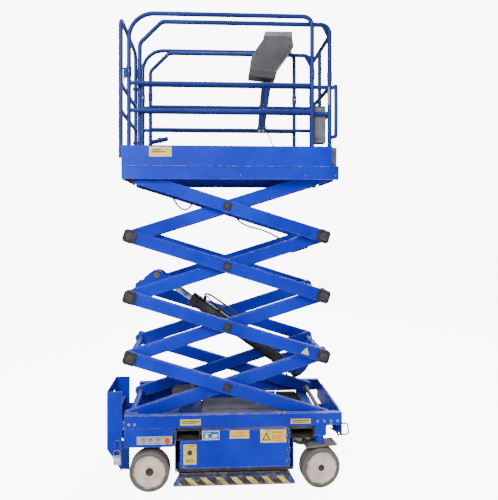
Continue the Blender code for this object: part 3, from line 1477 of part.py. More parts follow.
def control_cable():
    """The lead from the console's foot down to the deck edge."""
    knots = [Vector(knot) for knot in CABLE_KNOTS]
    points = []
    padded = [2 * knots[0] - knots[1]] + knots + [2 * knots[-1] - knots[-2]]
    for a, b, c, d in zip(padded, padded[1:], padded[2:], padded[3:]):
        for step in range(2):
            t = step / 2
            bend = (2 * a - 5 * b + 4 * c - d) * t**2 + (3 * b - 3 * c + d - a) * t**3
            points.append(0.5 * (2 * b + (c - a) * t + bend))
    points.append(knots[-1])
    return finish(tube(points, CABLE_RADIUS, TUBE_SIDES), "control_cable", "black")


def document_box():
    """The manual box on the inside of the near extension rail, at the front."""
    y_face = -(EXT_RAIL_Y - RAIL_TUBE - GAP)
    box = block((BOX_LOW_X, y_face, BOX_LOW_Z), (BOX_HIGH_X, y_face + BOX_DEPTH, BOX_HIGH_Z))
    hollow = block(
        (BOX_LOW_X + BOX_WALL, y_face + SHEET, BOX_LOW_Z + BOX_WALL),
        (BOX_HIGH_X - BOX_WALL, y_face + BOX_DEPTH - SHEET, BOX_HIGH_Z + CUT),
    )
    return finish(cut(box, [hollow]), "document_box", "grey_cover", smooth=False)


# Assembly


def clear_scene():
    for obj in list(bpy.data.objects):
        bpy.data.objects.remove(obj, do_unlink=True)


def move_origin():
    """Puts the origin under the middle of the whole machine's length."""
    bpy.context.view_layer.update()
    reach = []
    for obj in bpy.data.objects:
        reach += [(obj.matrix_world @ vertex.co).x for vertex in obj.data.vertices]
    shift = -(min(reach) + max(reach)) / 2
    for obj in bpy.data.objects:
        obj.location.x += shift


def build():
    clear_scene()
    for stage in range(STAGES):
        inner_frame(stage)
        for side in (NEAR, FAR):
            outer_arm(stage, side)
    lower_roller_shaft()
    upper_pivot_shaft()
    lift_cylinder_barrel()
    lift_cylinder_rod()
    chassis_frame()
    fork_pocket(POCKET_REAR_X, "fork_pocket_rear")
    fork_pocket(POCKET_FRONT_X, "fork_pocket_front")
    battery_pack()
    power_unit()
    tray_cover()
    end_plate()
    entry_ladder()
    control_plate()
    stop_button()
    rear_axle()
    front_axle()
    tie_rod()
    for side in (NEAR, FAR):
        word = SIDE_NAMES[side]
        side_panel(side)
        module_door(side)
        pothole_guard(side)
        steering_knuckle(side)
        tyre(REAR_WHEEL_X, side, f"tyre_rear_{word}")
        rim(REAR_WHEEL_X, side, f"wheel_rear_{word}")
        tyre(FRONT_WHEEL_X, side, f"tyre_front_{word}", REST_STEER)
        rim(FRONT_WHEEL_X, side, f"wheel_front_{word}", REST_STEER)
        toe_board(side)
        main_guardrail(side)
        extension_guardrail(side)
    platform_deck()
    extension_deck()
    front_guardrail()
    entry_gate()
    control_console()
    console_bracket()
    control_cable()
    document_box()
    move_origin()


build()
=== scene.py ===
import math

import bmesh
import bpy
from mathutils import Matrix, Vector


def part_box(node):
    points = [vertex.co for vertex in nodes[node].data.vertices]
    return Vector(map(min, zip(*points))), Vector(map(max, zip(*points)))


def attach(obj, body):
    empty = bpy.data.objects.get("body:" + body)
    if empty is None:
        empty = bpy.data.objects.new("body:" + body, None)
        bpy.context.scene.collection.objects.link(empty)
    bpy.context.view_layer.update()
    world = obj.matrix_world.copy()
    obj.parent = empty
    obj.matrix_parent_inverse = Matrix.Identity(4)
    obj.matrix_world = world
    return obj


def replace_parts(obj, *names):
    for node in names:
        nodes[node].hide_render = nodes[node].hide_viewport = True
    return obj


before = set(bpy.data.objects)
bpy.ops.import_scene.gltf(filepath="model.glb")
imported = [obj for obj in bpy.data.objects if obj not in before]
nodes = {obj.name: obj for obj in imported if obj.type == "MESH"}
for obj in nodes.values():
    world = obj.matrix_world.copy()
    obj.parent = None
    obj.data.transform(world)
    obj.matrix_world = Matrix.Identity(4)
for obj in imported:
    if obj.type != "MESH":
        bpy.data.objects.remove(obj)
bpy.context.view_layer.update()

near, far = -1, 1
sideWord = {near: "near", far: "far"}


def boxOf(name):
    low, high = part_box(name)
    return Vector(low), Vector(high)


def middleOf(name):
    low, high = boxOf(name)
    return (low + high) / 2


middleX = middleOf("outer_arm_1_near").x  # the middle of the scissor stack


def at(x, y, z):
    return Vector((x + middleX, y, z))


# The scissor's own sizes, which most of the pieces line up with
scissor = {
    "armLength": 1.5662,
    "angle": math.radians(17.347),
    "lowPinZ": 0.530,
    "outerFaceY": 0.330,
    "innerFaceY": 0.232,
}
scissor["rise"] = scissor["armLength"] * math.sin(scissor["angle"])
scissor["span"] = scissor["armLength"] * math.cos(scissor["angle"])

deckTop = 2.472
print("frame loaded")


# Small helpers that build materials
def newMaterial(name):
    mat = bpy.data.materials.new(name)
    mat.use_nodes = True
    tree = mat.node_tree
    return mat, tree, tree.nodes["Principled BSDF"]


def node(tree, kind, **values):
    made = tree.nodes.new(kind)
    for key, value in values.items():
        setattr(made, key, value)
    return made


def objectCoords(tree, scale=(1, 1, 1), turn=(0, 0, 0)):
    coords = node(tree, "ShaderNodeTexCoord")
    mapping = node(tree, "ShaderNodeMapping")
    mapping.inputs["Scale"].default_value = scale
    mapping.inputs["Rotation"].default_value = turn
    tree.links.new(coords.outputs["Object"], mapping.inputs["Vector"])
    return mapping.outputs["Vector"]


def split(tree, vector):
    made = node(tree, "ShaderNodeSeparateXYZ")
    tree.links.new(vector, made.inputs["Vector"])
    return made.outputs["X"], made.outputs["Y"], made.outputs["Z"]


def noise(tree, coords, scale, detail=4.0, rough=0.55):
    made = node(tree, "ShaderNodeTexNoise")
    made.inputs["Scale"].default_value = scale
    made.inputs["Detail"].default_value = detail
    made.inputs["Roughness"].default_value = rough
    tree.links.new(coords, made.inputs["Vector"])
    return made.outputs["Fac"]


def ramp(tree, source, stops):
    made = node(tree, "ShaderNodeValToRGB")
    elements = made.color_ramp.elements
    while len(elements) < len(stops):
        elements.new(0.5)
    for element, (place, value) in zip(elements, stops):
        element.position = place
        element.color = (value, value, value, 1) if isinstance(value, (int, float)) else (*value, 1)
    tree.links.new(source, made.inputs["Fac"])
    return made.outputs["Color"]


def mixColour(tree, factor, one, two):
    made = node(tree, "ShaderNodeMix", data_type="RGBA")
    for socket, value in ((made.inputs[0], factor), (made.inputs[6], one), (made.inputs[7], two)):
        if isinstance(value, (int, float)):
            socket.default_value = value
        elif isinstance(value, tuple):
            socket.default_value = (*value, 1)
        else:
            tree.links.new(value, socket)
    return made.outputs[2]


def maths(tree, operation, one, two=None):
    made = node(tree, "ShaderNodeMath", operation=operation)
    for socket, value in zip(made.inputs, (one, two)):
        if isinstance(value, (int, float)):
            socket.default_value = value
        elif value is not None:
            tree.links.new(value, socket)
    return made.outputs[0]


def times(tree, one, two):
    return maths(tree, "MULTIPLY", one, two)


def bump(tree, shader, height, strength, distance):
    made = node(tree, "ShaderNodeBump")
    made.inputs["Strength"].default_value = strength
    made.inputs["Distance"].default_value = distance
    tree.links.new(height, made.inputs["Height"])
    tree.links.new(made.outputs["Normal"], shader.inputs["Normal"])


def edgeMask(tree, radius):
    bevel = node(tree, "ShaderNodeBevel", samples=3)
    bevel.inputs["Radius"].default_value = radius
    geometry = node(tree, "ShaderNodeNewGeometry")
    dot = node(tree, "ShaderNodeVectorMath", operation="DOT_PRODUCT")
    tree.links.new(bevel.outputs["Normal"], dot.inputs[0])
    tree.links.new(geometry.outputs["Normal"], dot.inputs[1])
    return maths(tree, "SUBTRACT", 1.0, dot.outputs["Value"])


def wornPaint(name, paint):
    mat, tree, shader = newMaterial(name)
    coords = objectCoords(tree)
    clouds = noise(tree, coords, 2.3, 5.0)
    tone = ramp(tree, clouds, [(0.3, paint["deep"]), (0.52, paint["base"]), (0.75, paint["pale"])])
    # Long faint scuffs along the piece, where ropes and boots rub it
    stretched = objectCoords(tree, (3.0, 24.0, 70.0), (0, 0.12, 0))
    scuffs = ramp(tree, noise(tree, stretched, 3.0, 6.0, 0.7), [(0.60, 0.0), (0.74, 1.0)])
    tone = mixColour(tree, times(tree, scuffs, paint["scuffs"]), tone, paint["scuffColour"])
    # Dust and grime in soft patches
    grime = ramp(tree, noise(tree, coords, 9.0, 8.0, 0.65), [(0.50, 0.0), (0.78, 1.0)])
    tone = mixColour(tree, times(tree, grime, paint["grime"]), tone, paint["grimeColour"])
    # Whatever faces up is painted paler, in patches: a painted highlight on the top faces
    normal = node(tree, "ShaderNodeNewGeometry").outputs["Normal"]
    upHighlight = ramp(tree, split(tree, normal)[2], [(0.80, 0.0), (0.95, paint["upHighlight"])])
    patches = ramp(tree, noise(tree, coords, 17.0, 6.0, 0.7), [(0.35, 0.25), (0.65, 1.0)])
    tone = mixColour(tree, times(tree, upHighlight, patches), tone, paint["upHighlightColour"])
    # Chips: most along edges, a few on the faces
    edges = times(tree, edgeMask(tree, paint["edge"]), 3.2)
    chips = maths(tree, "ADD", edges, noise(tree, coords, 46.0, 5.0, 0.7))
    chips = ramp(tree, chips, [(paint["chips"], 0.0), (paint["chips"] + 0.035, 1.0)])
    rustSpots = noise(tree, coords, 60.0, 4.0)
    rust = ramp(tree, rustSpots, [(0.4, paint["rustColour"]), (0.62, paint["chipColour"])])
    tone = mixColour(tree, chips, tone, rust)
    tree.links.new(tone, shader.inputs["Base Color"])
    shine = noise(tree, coords, 14.0, 6.0)
    shine = ramp(tree, shine, [(0.3, paint["rough"] - 0.07), (0.7, paint["rough"] + 0.16)])
    shine = mixColour(tree, chips, shine, (0.75, 0.75, 0.75))
    tree.links.new(shine, shader.inputs["Roughness"])
    shader.inputs["Coat Weight"].default_value = paint["coat"]
    shader.inputs["Coat Roughness"].default_value = 0.25
    shader.inputs["Specular IOR Level"].default_value = paint["gloss"]
    skin = maths(tree, "SUBTRACT", times(tree, noise(tree, coords, 160.0, 3.0), 0.35), chips)
    bump(tree, shader, skin, 0.25, 0.0012)
    return mat


bluePaint = {
    "deep": (0.0, 0.008, 0.30),
    "base": (0.0, 0.015, 0.44),
    "pale": (0.001, 0.030, 0.56),
    "scuffs": 0.18,
    "scuffColour": (0.03, 0.08, 0.46),
    "grime": 0.24,
    "grimeColour": (0.016, 0.020, 0.070),
    "edge": 0.006,  # how far chips reach in from an edge, in metres
    "chips": 0.80,  # higher leaves fewer chips
    "chipColour": (0.34, 0.36, 0.40),
    "rustColour": (0.10, 0.035, 0.014),
    "rough": 0.42,
    "coat": 0.04,
    "gloss": 0.14,
    # Strength and colour of the painted highlight on up-facing faces
    "upHighlight": 0.55,
    "upHighlightColour": (0.24, 0.32, 0.55),
}
railPaint = dict(
    bluePaint,
    deep=(0.006, 0.013, 0.105),
    base=(0.009, 0.022, 0.170),
    pale=(0.016, 0.038, 0.260),
    grime=0.35,
    scuffs=0.3,
    chips=0.98,
    rough=0.46,
    upHighlight=0.12,
    edge=0.002,
)
# A darker copy of the blue paint: painted shade for parts that sit in shadow
paintedShadeBluePaint = dict(
    bluePaint,
    deep=(0.002, 0.012, 0.11),
    base=(0.003, 0.020, 0.19),
    pale=(0.006, 0.034, 0.28),
    grime=0.45,
    upHighlight=0.2,
)


def bareMetal(name, metal):
    mat, tree, shader = newMaterial(name)
    coords = objectCoords(tree)
    dark, plain, light = metal["tones"]
    patches = noise(tree, coords, metal["patch"], 6.0, 0.7)
    tone = ramp(tree, patches, [(0.32, dark), (0.5, plain), (0.7, light)])
    tree.links.new(tone, shader.inputs["Base Color"])
    shine = noise(tree, coords, metal["patch"] * 2, 5.0)
    shine = ramp(tree, shine, [(0.3, metal["rough"] - 0.1), (0.7, metal["rough"] + 0.18)])
    tree.links.new(shine, shader.inputs["Roughness"])
    shader.inputs["Metallic"].default_value = metal["metallic"]
    bump(tree, shader, noise(tree, coords, metal["grain"], 6.0, 0.7), metal["relief"], 0.0015)
    return mat


# Metals and plastics: the material's name, the look it starts from, what differs,
# then its tones from dark to light
metals = {
    "pin": ("rusty_pin_steel", None,
            {"patch": 38.0, "grain": 140.0, "rough": 0.62, "metallic": 0.35, "relief": 0.5},
            (0.016, 0.012, 0.010), (0.050, 0.036, 0.028), (0.135, 0.085, 0.055)),
    "iron": ("dark_iron", "pin", {"patch": 22.0},
             (0.010, 0.010, 0.012), (0.026, 0.026, 0.030), (0.070, 0.062, 0.056)),
    "greyIron": ("grey_iron", "pin", {"metallic": 0.4, "patch": 18.0},
                 (0.055, 0.050, 0.045), (0.15, 0.145, 0.135), (0.28, 0.26, 0.23)),
    "steel": ("bright_steel", "pin", {"metallic": 0.9, "rough": 0.33, "relief": 0.15},
              (0.30, 0.30, 0.31), (0.50, 0.50, 0.52), (0.66, 0.66, 0.67)),
    "chrome": ("hard_chrome", "pin", {"metallic": 1.0, "rough": 0.16, "relief": 0.04, "patch": 9.0},
               (0.55, 0.56, 0.58), (0.72, 0.73, 0.75), (0.82, 0.82, 0.84)),
    "brass": ("brass_pin", "pin", {"metallic": 0.9, "rough": 0.35, "relief": 0.15},
              (0.16, 0.10, 0.03), (0.36, 0.24, 0.08), (0.52, 0.38, 0.16)),
    "console": ("console_grey", "pin",
                {"metallic": 0.0, "rough": 0.55, "relief": 0.2, "patch": 7.0, "grain": 420.0},
                (0.030, 0.030, 0.036), (0.055, 0.055, 0.064), (0.085, 0.085, 0.095)),
    "consoleTop": ("console_top_grey", "console", {},
                   (0.10, 0.10, 0.11), (0.145, 0.145, 0.155), (0.20, 0.20, 0.21)),
    # A darker copy of the console grey: painted shade for the lower lip
    "consoleFoot": ("console_foot_grey", "console", {},
                    (0.020, 0.020, 0.024), (0.034, 0.033, 0.040), (0.052, 0.051, 0.058)),
    "block": ("pin_block_iron", "pin", {"patch": 26.0},
              (0.008, 0.007, 0.008), (0.020, 0.017, 0.017), (0.060, 0.042, 0.032)),
    "pocket": ("pocket_iron", "greyIron", {},
               (0.020, 0.018, 0.018), (0.050, 0.046, 0.042), (0.115, 0.100, 0.085)),
    "tank": ("tank_brown", "console", {},
             (0.060, 0.055, 0.062), (0.110, 0.100, 0.105), (0.170, 0.155, 0.150)),
    "boxGrey": ("box_grey", "console", {},
                (0.075, 0.078, 0.09), (0.12, 0.125, 0.14), (0.19, 0.19, 0.20)),
    "cover": ("tray_cover_grey", "console", {},
              (0.085, 0.080, 0.11), (0.135, 0.125, 0.165), (0.20, 0.19, 0.23)),
    "hose": ("hose_rubber", "console", {"rough": 0.5, "patch": 30.0},
             (0.006, 0.006, 0.007), (0.012, 0.012, 0.013), (0.030, 0.029, 0.028)),
    "barrel": ("barrel_black", "hose", {"rough": 0.38, "patch": 9.0},
               (0.006, 0.006, 0.007), (0.012, 0.012, 0.013), (0.026, 0.026, 0.028)),
    "yellow": ("yellow_label", "console", {"rough": 0.45, "patch": 26.0, "relief": 0.05},
               (0.42, 0.28, 0.03), (0.72, 0.50, 0.06), (0.82, 0.64, 0.20)),
    "ink": ("label_ink", "console", {"rough": 0.5, "patch": 40.0, "relief": 0.05},
            (0.010, 0.010, 0.010), (0.020, 0.018, 0.016), (0.09, 0.07, 0.03)),
    "orange": ("orange_label", "yellow", {},
               (0.45, 0.10, 0.01), (0.68, 0.20, 0.03), (0.80, 0.34, 0.10)),
    "white": ("white_label", "yellow", {},
              (0.45, 0.48, 0.55), (0.66, 0.69, 0.76), (0.80, 0.82, 0.86)),
    "blueLabel": ("blue_label", "yellow", {},
                  (0.008, 0.04, 0.30), (0.012, 0.06, 0.42), (0.05, 0.12, 0.55)),
    "red": ("red_plastic", "console", {"rough": 0.35, "patch": 30.0},
            (0.36, 0.02, 0.012), (0.58, 0.035, 0.02), (0.70, 0.09, 0.05)),
    "tan": ("tan_strip", "console", {"rough": 0.7},
            (0.16, 0.11, 0.06), (0.27, 0.19, 0.11), (0.38, 0.29, 0.18)),
    "zinc": ("galvanised_steel", "greyIron", {"metallic": 0.5, "rough": 0.5},
             (0.17, 0.17, 0.17), (0.30, 0.30, 0.30), (0.46, 0.45, 0.42)),
    "bay": ("bay_black", "iron", {"metallic": 0.1},
            (0.006, 0.006, 0.007), (0.014, 0.014, 0.016), (0.05, 0.045, 0.04)),
}


def radialDirt(name, wheel, centre):
    mat, tree, shader = newMaterial(name)
    coords = objectCoords(tree)
    clouds = noise(tree, coords, 11.0, 6.0)
    clean = ramp(tree, clouds, [(0.3, wheel["shade"]), (0.6, wheel["base"]), (0.8, wheel["light"])])
    offset = node(tree, "ShaderNodeVectorMath", operation="SUBTRACT")
    tree.links.new(coords, offset.inputs[0])
    offset.inputs[1].default_value = centre
    length = node(tree, "ShaderNodeVectorMath", operation="LENGTH")
    tree.links.new(offset.outputs["Vector"], length.inputs[0])
    ragged = times(tree, noise(tree, coords, 30.0, 6.0, 0.75), wheel["ragged"])
    reach = maths(tree, "ADD", length.outputs["Value"], ragged)
    ring = ramp(tree, reach, [(wheel["dirtFrom"], 0.0), (wheel["dirtFrom"] + 0.010, wheel["dirt"])])
    specks = ramp(tree, noise(tree, coords, 85.0, 5.0, 0.75), [(0.62, 0.0), (0.72, 0.45)])
    tone = mixColour(tree, ring, clean, wheel["dirtColour"])
    tone = mixColour(tree, specks, tone, wheel["speckColour"])
    tree.links.new(tone, shader.inputs["Base Color"])
    shine = ramp(tree, noise(tree, coords, 40.0, 4.0), [(0.3, 0.6), (0.7, 0.9)])
    tree.links.new(shine, shader.inputs["Roughness"])
    bump(tree, shader, noise(tree, coords, 120.0, 6.0, 0.7), 0.5, 0.002)
    return mat


wheelDirt = {
    "shade": (0.50, 0.42, 0.35),
    "base": (0.70, 0.61, 0.53),
    "light": (0.82, 0.76, 0.69),
    "dirtColour": (0.050, 0.042, 0.035),
    "speckColour": (0.22, 0.17, 0.13),
    "ragged": 0.050,
    "dirtFrom": 0.147,  # metres out from the wheel's centre
    "dirt": 0.88,
}


def hazardPaint(name, stripes):
    mat, tree, shader = newMaterial(name)
    coords = objectCoords(tree)
    x, _, z = split(tree, coords)
    wobble = times(tree, noise(tree, coords, 7.0, 3.0), 0.035)
    slant = maths(tree, "ADD", x, times(tree, z, stripes["slope"]))
    slant = maths(tree, "ADD", slant, wobble)
    phase = maths(tree, "FRACT", maths(tree, "DIVIDE", slant, stripes["period"]))
    yellowHere = maths(tree, "LESS_THAN", phase, stripes["yellowShare"])
    tone = mixColour(tree, yellowHere, stripes["black"], stripes["yellow"])
    # The outer ends keep the machine's blue
    fromMiddle = maths(tree, "ABSOLUTE", maths(tree, "SUBTRACT", x, stripes["middle"]))
    inside = maths(tree, "LESS_THAN", fromMiddle, stripes["half"])
    tone = mixColour(tree, inside, bluePaint["base"], tone)
    # A blue line over the stripes, then the dark plate above it
    above = maths(tree, "GREATER_THAN", z, stripes["top"])
    tone = mixColour(tree, above, tone, bluePaint["deep"])
    above = maths(tree, "GREATER_THAN", z, stripes["top"] + stripes["line"])
    tone = mixColour(tree, above, tone, stripes["plate"])
    worn = ramp(tree, noise(tree, coords, 24.0, 8.0, 0.75), [(0.50, 0.0), (0.60, 0.85)])
    tone = mixColour(tree, worn, tone, stripes["worn"])
    mud = ramp(tree, z, [(0.022, 0.8), (0.045, 0.0)])
    tone = mixColour(tree, mud, tone, stripes["mud"])
    tree.links.new(tone, shader.inputs["Base Color"])
    tree.links.new(ramp(tree, worn, [(0.0, 0.42), (1.0, 0.8)]), shader.inputs["Roughness"])
    bump(tree, shader, noise(tree, coords, 90.0, 6.0, 0.7), 0.4, 0.0015)
    return mat


guardLow, guardHigh = boxOf("pothole_guard_near")
hazardStripes = {
    "period": 0.118,
    "slope": 1.05,
    "yellowShare": 0.42,
    "middle": (guardLow.x + guardHigh.x) / 2,
    "half": (guardHigh.x - guardLow.x) / 2 - 0.046,
    "top": guardLow.z + (guardHigh.z - guardLow.z) * 0.62,
    "line": 0.007,
    "black": (0.012, 0.012, 0.016),
    "yellow": (0.66, 0.52, 0.12),
    "plate": (0.010, 0.012, 0.022),
    "worn": (0.13, 0.115, 0.10),
    "mud": (0.17, 0.15, 0.125),
}


def treadPlate(name, tread):
    mat, tree, shader = newMaterial(name)
    coords = objectCoords(tree)
    x, y = split(tree, coords)[:2]
    diamonds = []
    for sign in (1, -1):
        along = maths(tree, "ADD", x, times(tree, y, sign))
        across = maths(tree, "SUBTRACT", x, times(tree, y, sign))
        rows = maths(tree, "SINE", times(tree, along, tread["pitch"]))
        dashes = maths(tree, "SINE", times(tree, across, tread["pitch"] * 3))
        rows = maths(tree, "GREATER_THAN", rows, 0.8)
        dashes = maths(tree, "GREATER_THAN", dashes, -0.2)
        diamonds.append(times(tree, rows, dashes))
    lift = maths(tree, "MAXIMUM", *diamonds)
    wear = noise(tree, coords, 8.0, 8.0, 0.7)
    tone = ramp(tree, wear, [(0.3, tread["dark"]), (0.6, tread["base"]), (0.8, tread["light"])])
    tone = mixColour(tree, times(tree, lift, 0.5), tone, tread["light"])
    tree.links.new(tone, shader.inputs["Base Color"])
    shine = ramp(tree, noise(tree, coords, 30.0, 5.0), [(0.3, 0.4), (0.7, 0.7)])
    tree.links.new(shine, shader.inputs["Roughness"])
    shader.inputs["Metallic"].default_value = 0.5
    bump(tree, shader, lift, 0.8, 0.002)
    return mat


deckTread = {
    "pitch": 105.0,
    "dark": (0.05, 0.052, 0.06),
    "base": (0.13, 0.135, 0.145),
    "light": (0.26, 0.265, 0.275),
}

looks = {
    "blue": wornPaint("royal_blue_enamel", bluePaint),
    "shade": wornPaint("painted_shade_blue_enamel", paintedShadeBluePaint),
    "rail": wornPaint("rail_blue_enamel", railPaint),
    "hazard": hazardPaint("hazard_stripes", hazardStripes),
    "tread": treadPlate("deck_tread", deckTread),
}
settings = {None: {}}
for look, (name, parent, changes, *tones) in metals.items():
    settings[look] = {**settings[parent], **changes, "tones": tones}
    looks[look] = bareMetal(name, settings[look])
print("materials made")


# Small helpers that build meshes and tubes
def addBox(bm, low, high):
    low, high = Vector(low), Vector(high)
    verts = bmesh.ops.create_cube(bm, size=1.0)["verts"]
    bmesh.ops.scale(bm, vec=high - low, verts=verts)
    bmesh.ops.translate(bm, vec=(low + high) / 2, verts=verts)
    return verts


def addSlab(bm, xs, ys, zs):
    low, high = zip(*(sorted(pair) for pair in (xs, ys, zs)))
    return addBox(bm, at(*low), at(*high))


def addCylinder(bm, start, end, radius, sides=32, endRadius=None):
    start, end = Vector(start), Vector(end)
    made = bmesh.ops.create_cone(
        bm,
        cap_ends=True,
        segments=sides,
        radius1=radius,
        radius2=radius if endRadius is None else endRadius,
        depth=(end - start).length,
    )
    turn = Vector((0, 0, 1)).rotation_difference(end - start).to_matrix().to_4x4()
    bmesh.ops.transform(bm, matrix=Matrix.Translation((start + end) / 2) @ turn, verts=made["verts"])


def addPrism(bm, outline, fromY, toY):
    front = [bm.verts.new((x, fromY, z)) for x, z in outline]
    back = [bm.verts.new((x, toY, z)) for x, z in outline]
    bm.faces.new(front)
    bm.faces.new(back[::-1])
    for i in range(len(outline)):
        j = (i + 1) % len(outline)
        bm.faces.new((front[i], back[i], back[j], front[j]))
    return front + back


def addPlate(bm, outline, fromY, toY):
    return addPrism(bm, [(x + middleX, z) for x, z in outline], fromY, toY)


def addTurned(bm, profile, centre, axis, steps=64):
    axis = Vector(axis).normalized()
    side = axis.orthogonal().normalized()
    up = axis.cross(side)
    rings = []
    for i in range(steps):
        a = 2 * math.pi * i / steps
        out = side * math.cos(a) + up * math.sin(a)
        rings.append([bm.verts.new(Vector(centre) + out * r + axis * h) for r, h in profile])
    for i in range(steps):
        one, two = rings[i], rings[(i + 1) % steps]
        for j in range(len(profile)):
            k = (j + 1) % len(profile)
            bm.faces.new((one[j], one[k], two[k], two[j]))


def addRing(bm, centre, axis, radius, thick, steps=28, sides=8):
    turns = [2 * math.pi * j / sides for j in range(sides)]
    addTurned(bm, [(radius + thick * math.cos(b), thick * math.sin(b)) for b in turns], centre, axis, steps)


def addHexNut(bm, centre, axis, radius, height):
    centre, axis = Vector(centre), Vector(axis).normalized()
    addCylinder(bm, centre, centre + axis * height * 0.25, radius * 1.25, 24)  # washer
    addCylinder(bm, centre + axis * height * 0.2, centre + axis * height, radius, 6)


def piece(name, bm, look, body, bevel=0.0, smooth=True):
    bmesh.ops.recalc_face_normals(bm, faces=bm.faces)
    mesh = bpy.data.meshes.new(name)
    bm.to_mesh(mesh)
    bm.free()
    if smooth:
        mesh.shade_smooth()
        mesh.set_sharp_from_angle(angle=math.radians(35))
    obj = bpy.data.objects.new(name, mesh)
    bpy.context.scene.collection.objects.link(obj)
    mesh.materials.append(looks[look] if isinstance(look, str) else look)
    if bevel:
        rounding = obj.modifiers.new("rounding", "BEVEL")
        rounding.width = bevel
        rounding.segments = 2
        rounding.limit_method = "ANGLE"
        rounding.harden_normals = True
    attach(obj, body)
    return obj


# Whole pieces made of one kind of thing
def slabs(name, look, body, boxes, bevel=0.0):
    bm = bmesh.new()
    for box in boxes:
        addSlab(bm, *box)
    piece(name, bm, look, body, bevel)


def plates(name, look, body, cuts, bevel=0.0):
    bm = bmesh.new()
    for outline, fromY, toY in cuts:
        addPlate(bm, outline, fromY, toY)
    piece(name, bm, look, body, bevel)


def nuts(name, look, body, spots, radius, height):
    bm = bmesh.new()
    for spot, axis in spots:
        addHexNut(bm, spot, axis, radius, height)
    piece(name, bm, look, body)


def turnedPath(corners, radii, steps=10):
    corners = [Vector(c) for c in corners]
    points = [corners[0]]
    for before, corner, after, size in zip(corners, corners[1:], corners[2:], radii):
        into, out = (corner - before).normalized(), (after - corner).normalized()
        turn = into.angle(out)
        start = corner - into * (size * math.tan(turn / 2))
        axis = into.cross(out).normalized()
        middle = start + axis.cross(into) * size
        for step in range(steps + 1):
            points.append(middle + Matrix.Rotation(turn * step / steps, 3, axis) @ (start - middle))
    return points + [corners[-1]]


def smoothPath(knots, steps=8):
    knots = [Vector(k) for k in knots]
    padded = [2 * knots[0] - knots[1]] + knots + [2 * knots[-1] - knots[-2]]
    points = []
    for a, b, c, d in zip(padded, padded[1:], padded[2:], padded[3:]):
        for step in range(steps):
            t = step / steps
            square, cube = (2 * a - 5 * b + 4 * c - d) * t * t, (3 * b - 3 * c + d - a) * t**3
            points.append(0.5 * (2 * b + (c - a) * t + square + cube))
    return points + [knots[-1]]


def tubes(name, runs, look, body):
    curve = bpy.data.curves.new(name, "CURVE")
    curve.dimensions = "3D"
    curve.bevel_depth = 1.0
    curve.bevel_resolution = 5
    curve.use_fill_caps = True
    for points, radius in runs:
        spline = curve.splines.new("POLY")
        spline.points.add(len(points) - 1)
        for spot, point in zip(spline.points, points):
            spot.co = (*point, 1)
            spot.radius = radius
        spline.use_smooth = True
    obj = bpy.data.objects.new(name, curve)
    bpy.context.scene.collection.objects.link(obj)
    curve.materials.append(looks[look])
    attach(obj, body)
    return obj


# CAD pieces that keep their own shape get their finish. A trailing star stands for both near and far
finishes = {
    "blue": ["chassis_frame", "entry_ladder", "platform_deck", "side_panel_*", "module_door_*", "toe_board_*",
             "front_axle"],
    # The front end plate and the power unit take the darker blue as painted shade
    "shade": ["front_end_plate", "power_unit"],
    "rail": ["console_bracket"],
    "greyIron": ["lower_roller_shaft", "upper_pivot_shaft", "steering_knuckle_*", "rear_axle"],
    "iron": ["tie_rod"],
    "pocket": ["fork_pocket_rear", "fork_pocket_front"],
    "bay": ["battery_pack"],
    "cover": ["tray_cover"],
    "barrel": ["lift_cylinder_barrel"],
    "chrome": ["lift_cylinder_rod"],
    "tread": ["extension_deck"],
    "hazard": ["pothole_guard_*"],
    "steel": ["ground_control_plate"],
    "red": ["emergency_stop_button"],
    "hose": ["control_cable"],
    "boxGrey": ["document_box"],
}
for number in range(1, 5):
    finishes["blue"] += [f"inner_frame_{number}", f"outer_arm_{number}_*"]
for look, names in finishes.items():
    for name in names:
        for full in sorted({name.replace("*", word) for word in sideWord.values()}):
            nodes[full].data.materials.clear()
            nodes[full].data.materials.append(looks[look])
print("CAD pieces dressed")


armEnds = {
    "plateSize": 0.101,
    "plateThick": 0.0064,
    "blockSize": 0.060,
    "blockThick": 0.0068,
    "plateCorner": 0.016,
    "blockCorner": 0.006,
    "headRadius": 0.024,
    "centreRadius": 0.019,
    "weldRadius": 0.030,
    "weldThick": 0.0045,
}


def pinSpot(level, end):
    return at(end * scissor["span"] / 2, 0, scissor["lowPinZ"] + level * scissor["rise"])


def centreSpot(stage):
    return at(0, 0, scissor["lowPinZ"] + (stage + 0.5) * scissor["rise"])


# The outer arms fall towards the front, so what sits on them turns with them
def layOnArm(bm, verts, x, z):
    bmesh.ops.rotate(bm, cent=(0, 0, 0), matrix=Matrix.Rotation(scissor["angle"], 3, "Y"), verts=verts)
    bmesh.ops.translate(bm, vec=(x, 0, z), verts=verts)


def squarePlate(bm, spot, side, kind):
    half = armEnds[f"{kind}Size"] / 2
    cut = half - armEnds[f"{kind}Corner"]
    face = side * scissor["outerFaceY"]
    outline = [
        (-half, -cut), (-cut, -half), (cut, -half), (half, -cut),
        (half, cut), (cut, half), (-cut, half), (-half, cut),
    ]
    verts = addPrism(bm, outline, face - side * 0.001, face + side * armEnds[f"{kind}Thick"])
    layOnArm(bm, verts, spot.x, spot.z)


def armEndPlates():
    for stage in range(4):
        body = f"outer_arms_{stage + 1}"
        for side in (near, far):
            bm = bmesh.new()
            for spot in (pinSpot(stage, 1), pinSpot(stage + 1, -1)):
                squarePlate(bm, spot, side, "plate")
            squarePlate(bm, centreSpot(stage), side, "block")
            piece(f"arm_end_plates_{stage + 1}_{sideWord[side]}", bm, "block", body, 0.0015)


def pinHead(bm, spot, radius, side):
    face = Vector((spot.x, side * (scissor["outerFaceY"] + 0.0012), spot.z))
    out = Vector((0, side, 0))
    profile = [
        (0.004, 0.0), (radius, 0.0), (radius, 0.0078), (radius - 0.003, 0.0088), (radius * 0.62, 0.0088),
        (radius * 0.60, 0.0108), (radius * 0.52, 0.0116), (0.004, 0.0116),
    ]
    addTurned(bm, profile, face, out, 40)
    addCylinder(bm, face, face + out * 0.0112, 0.006, 16)


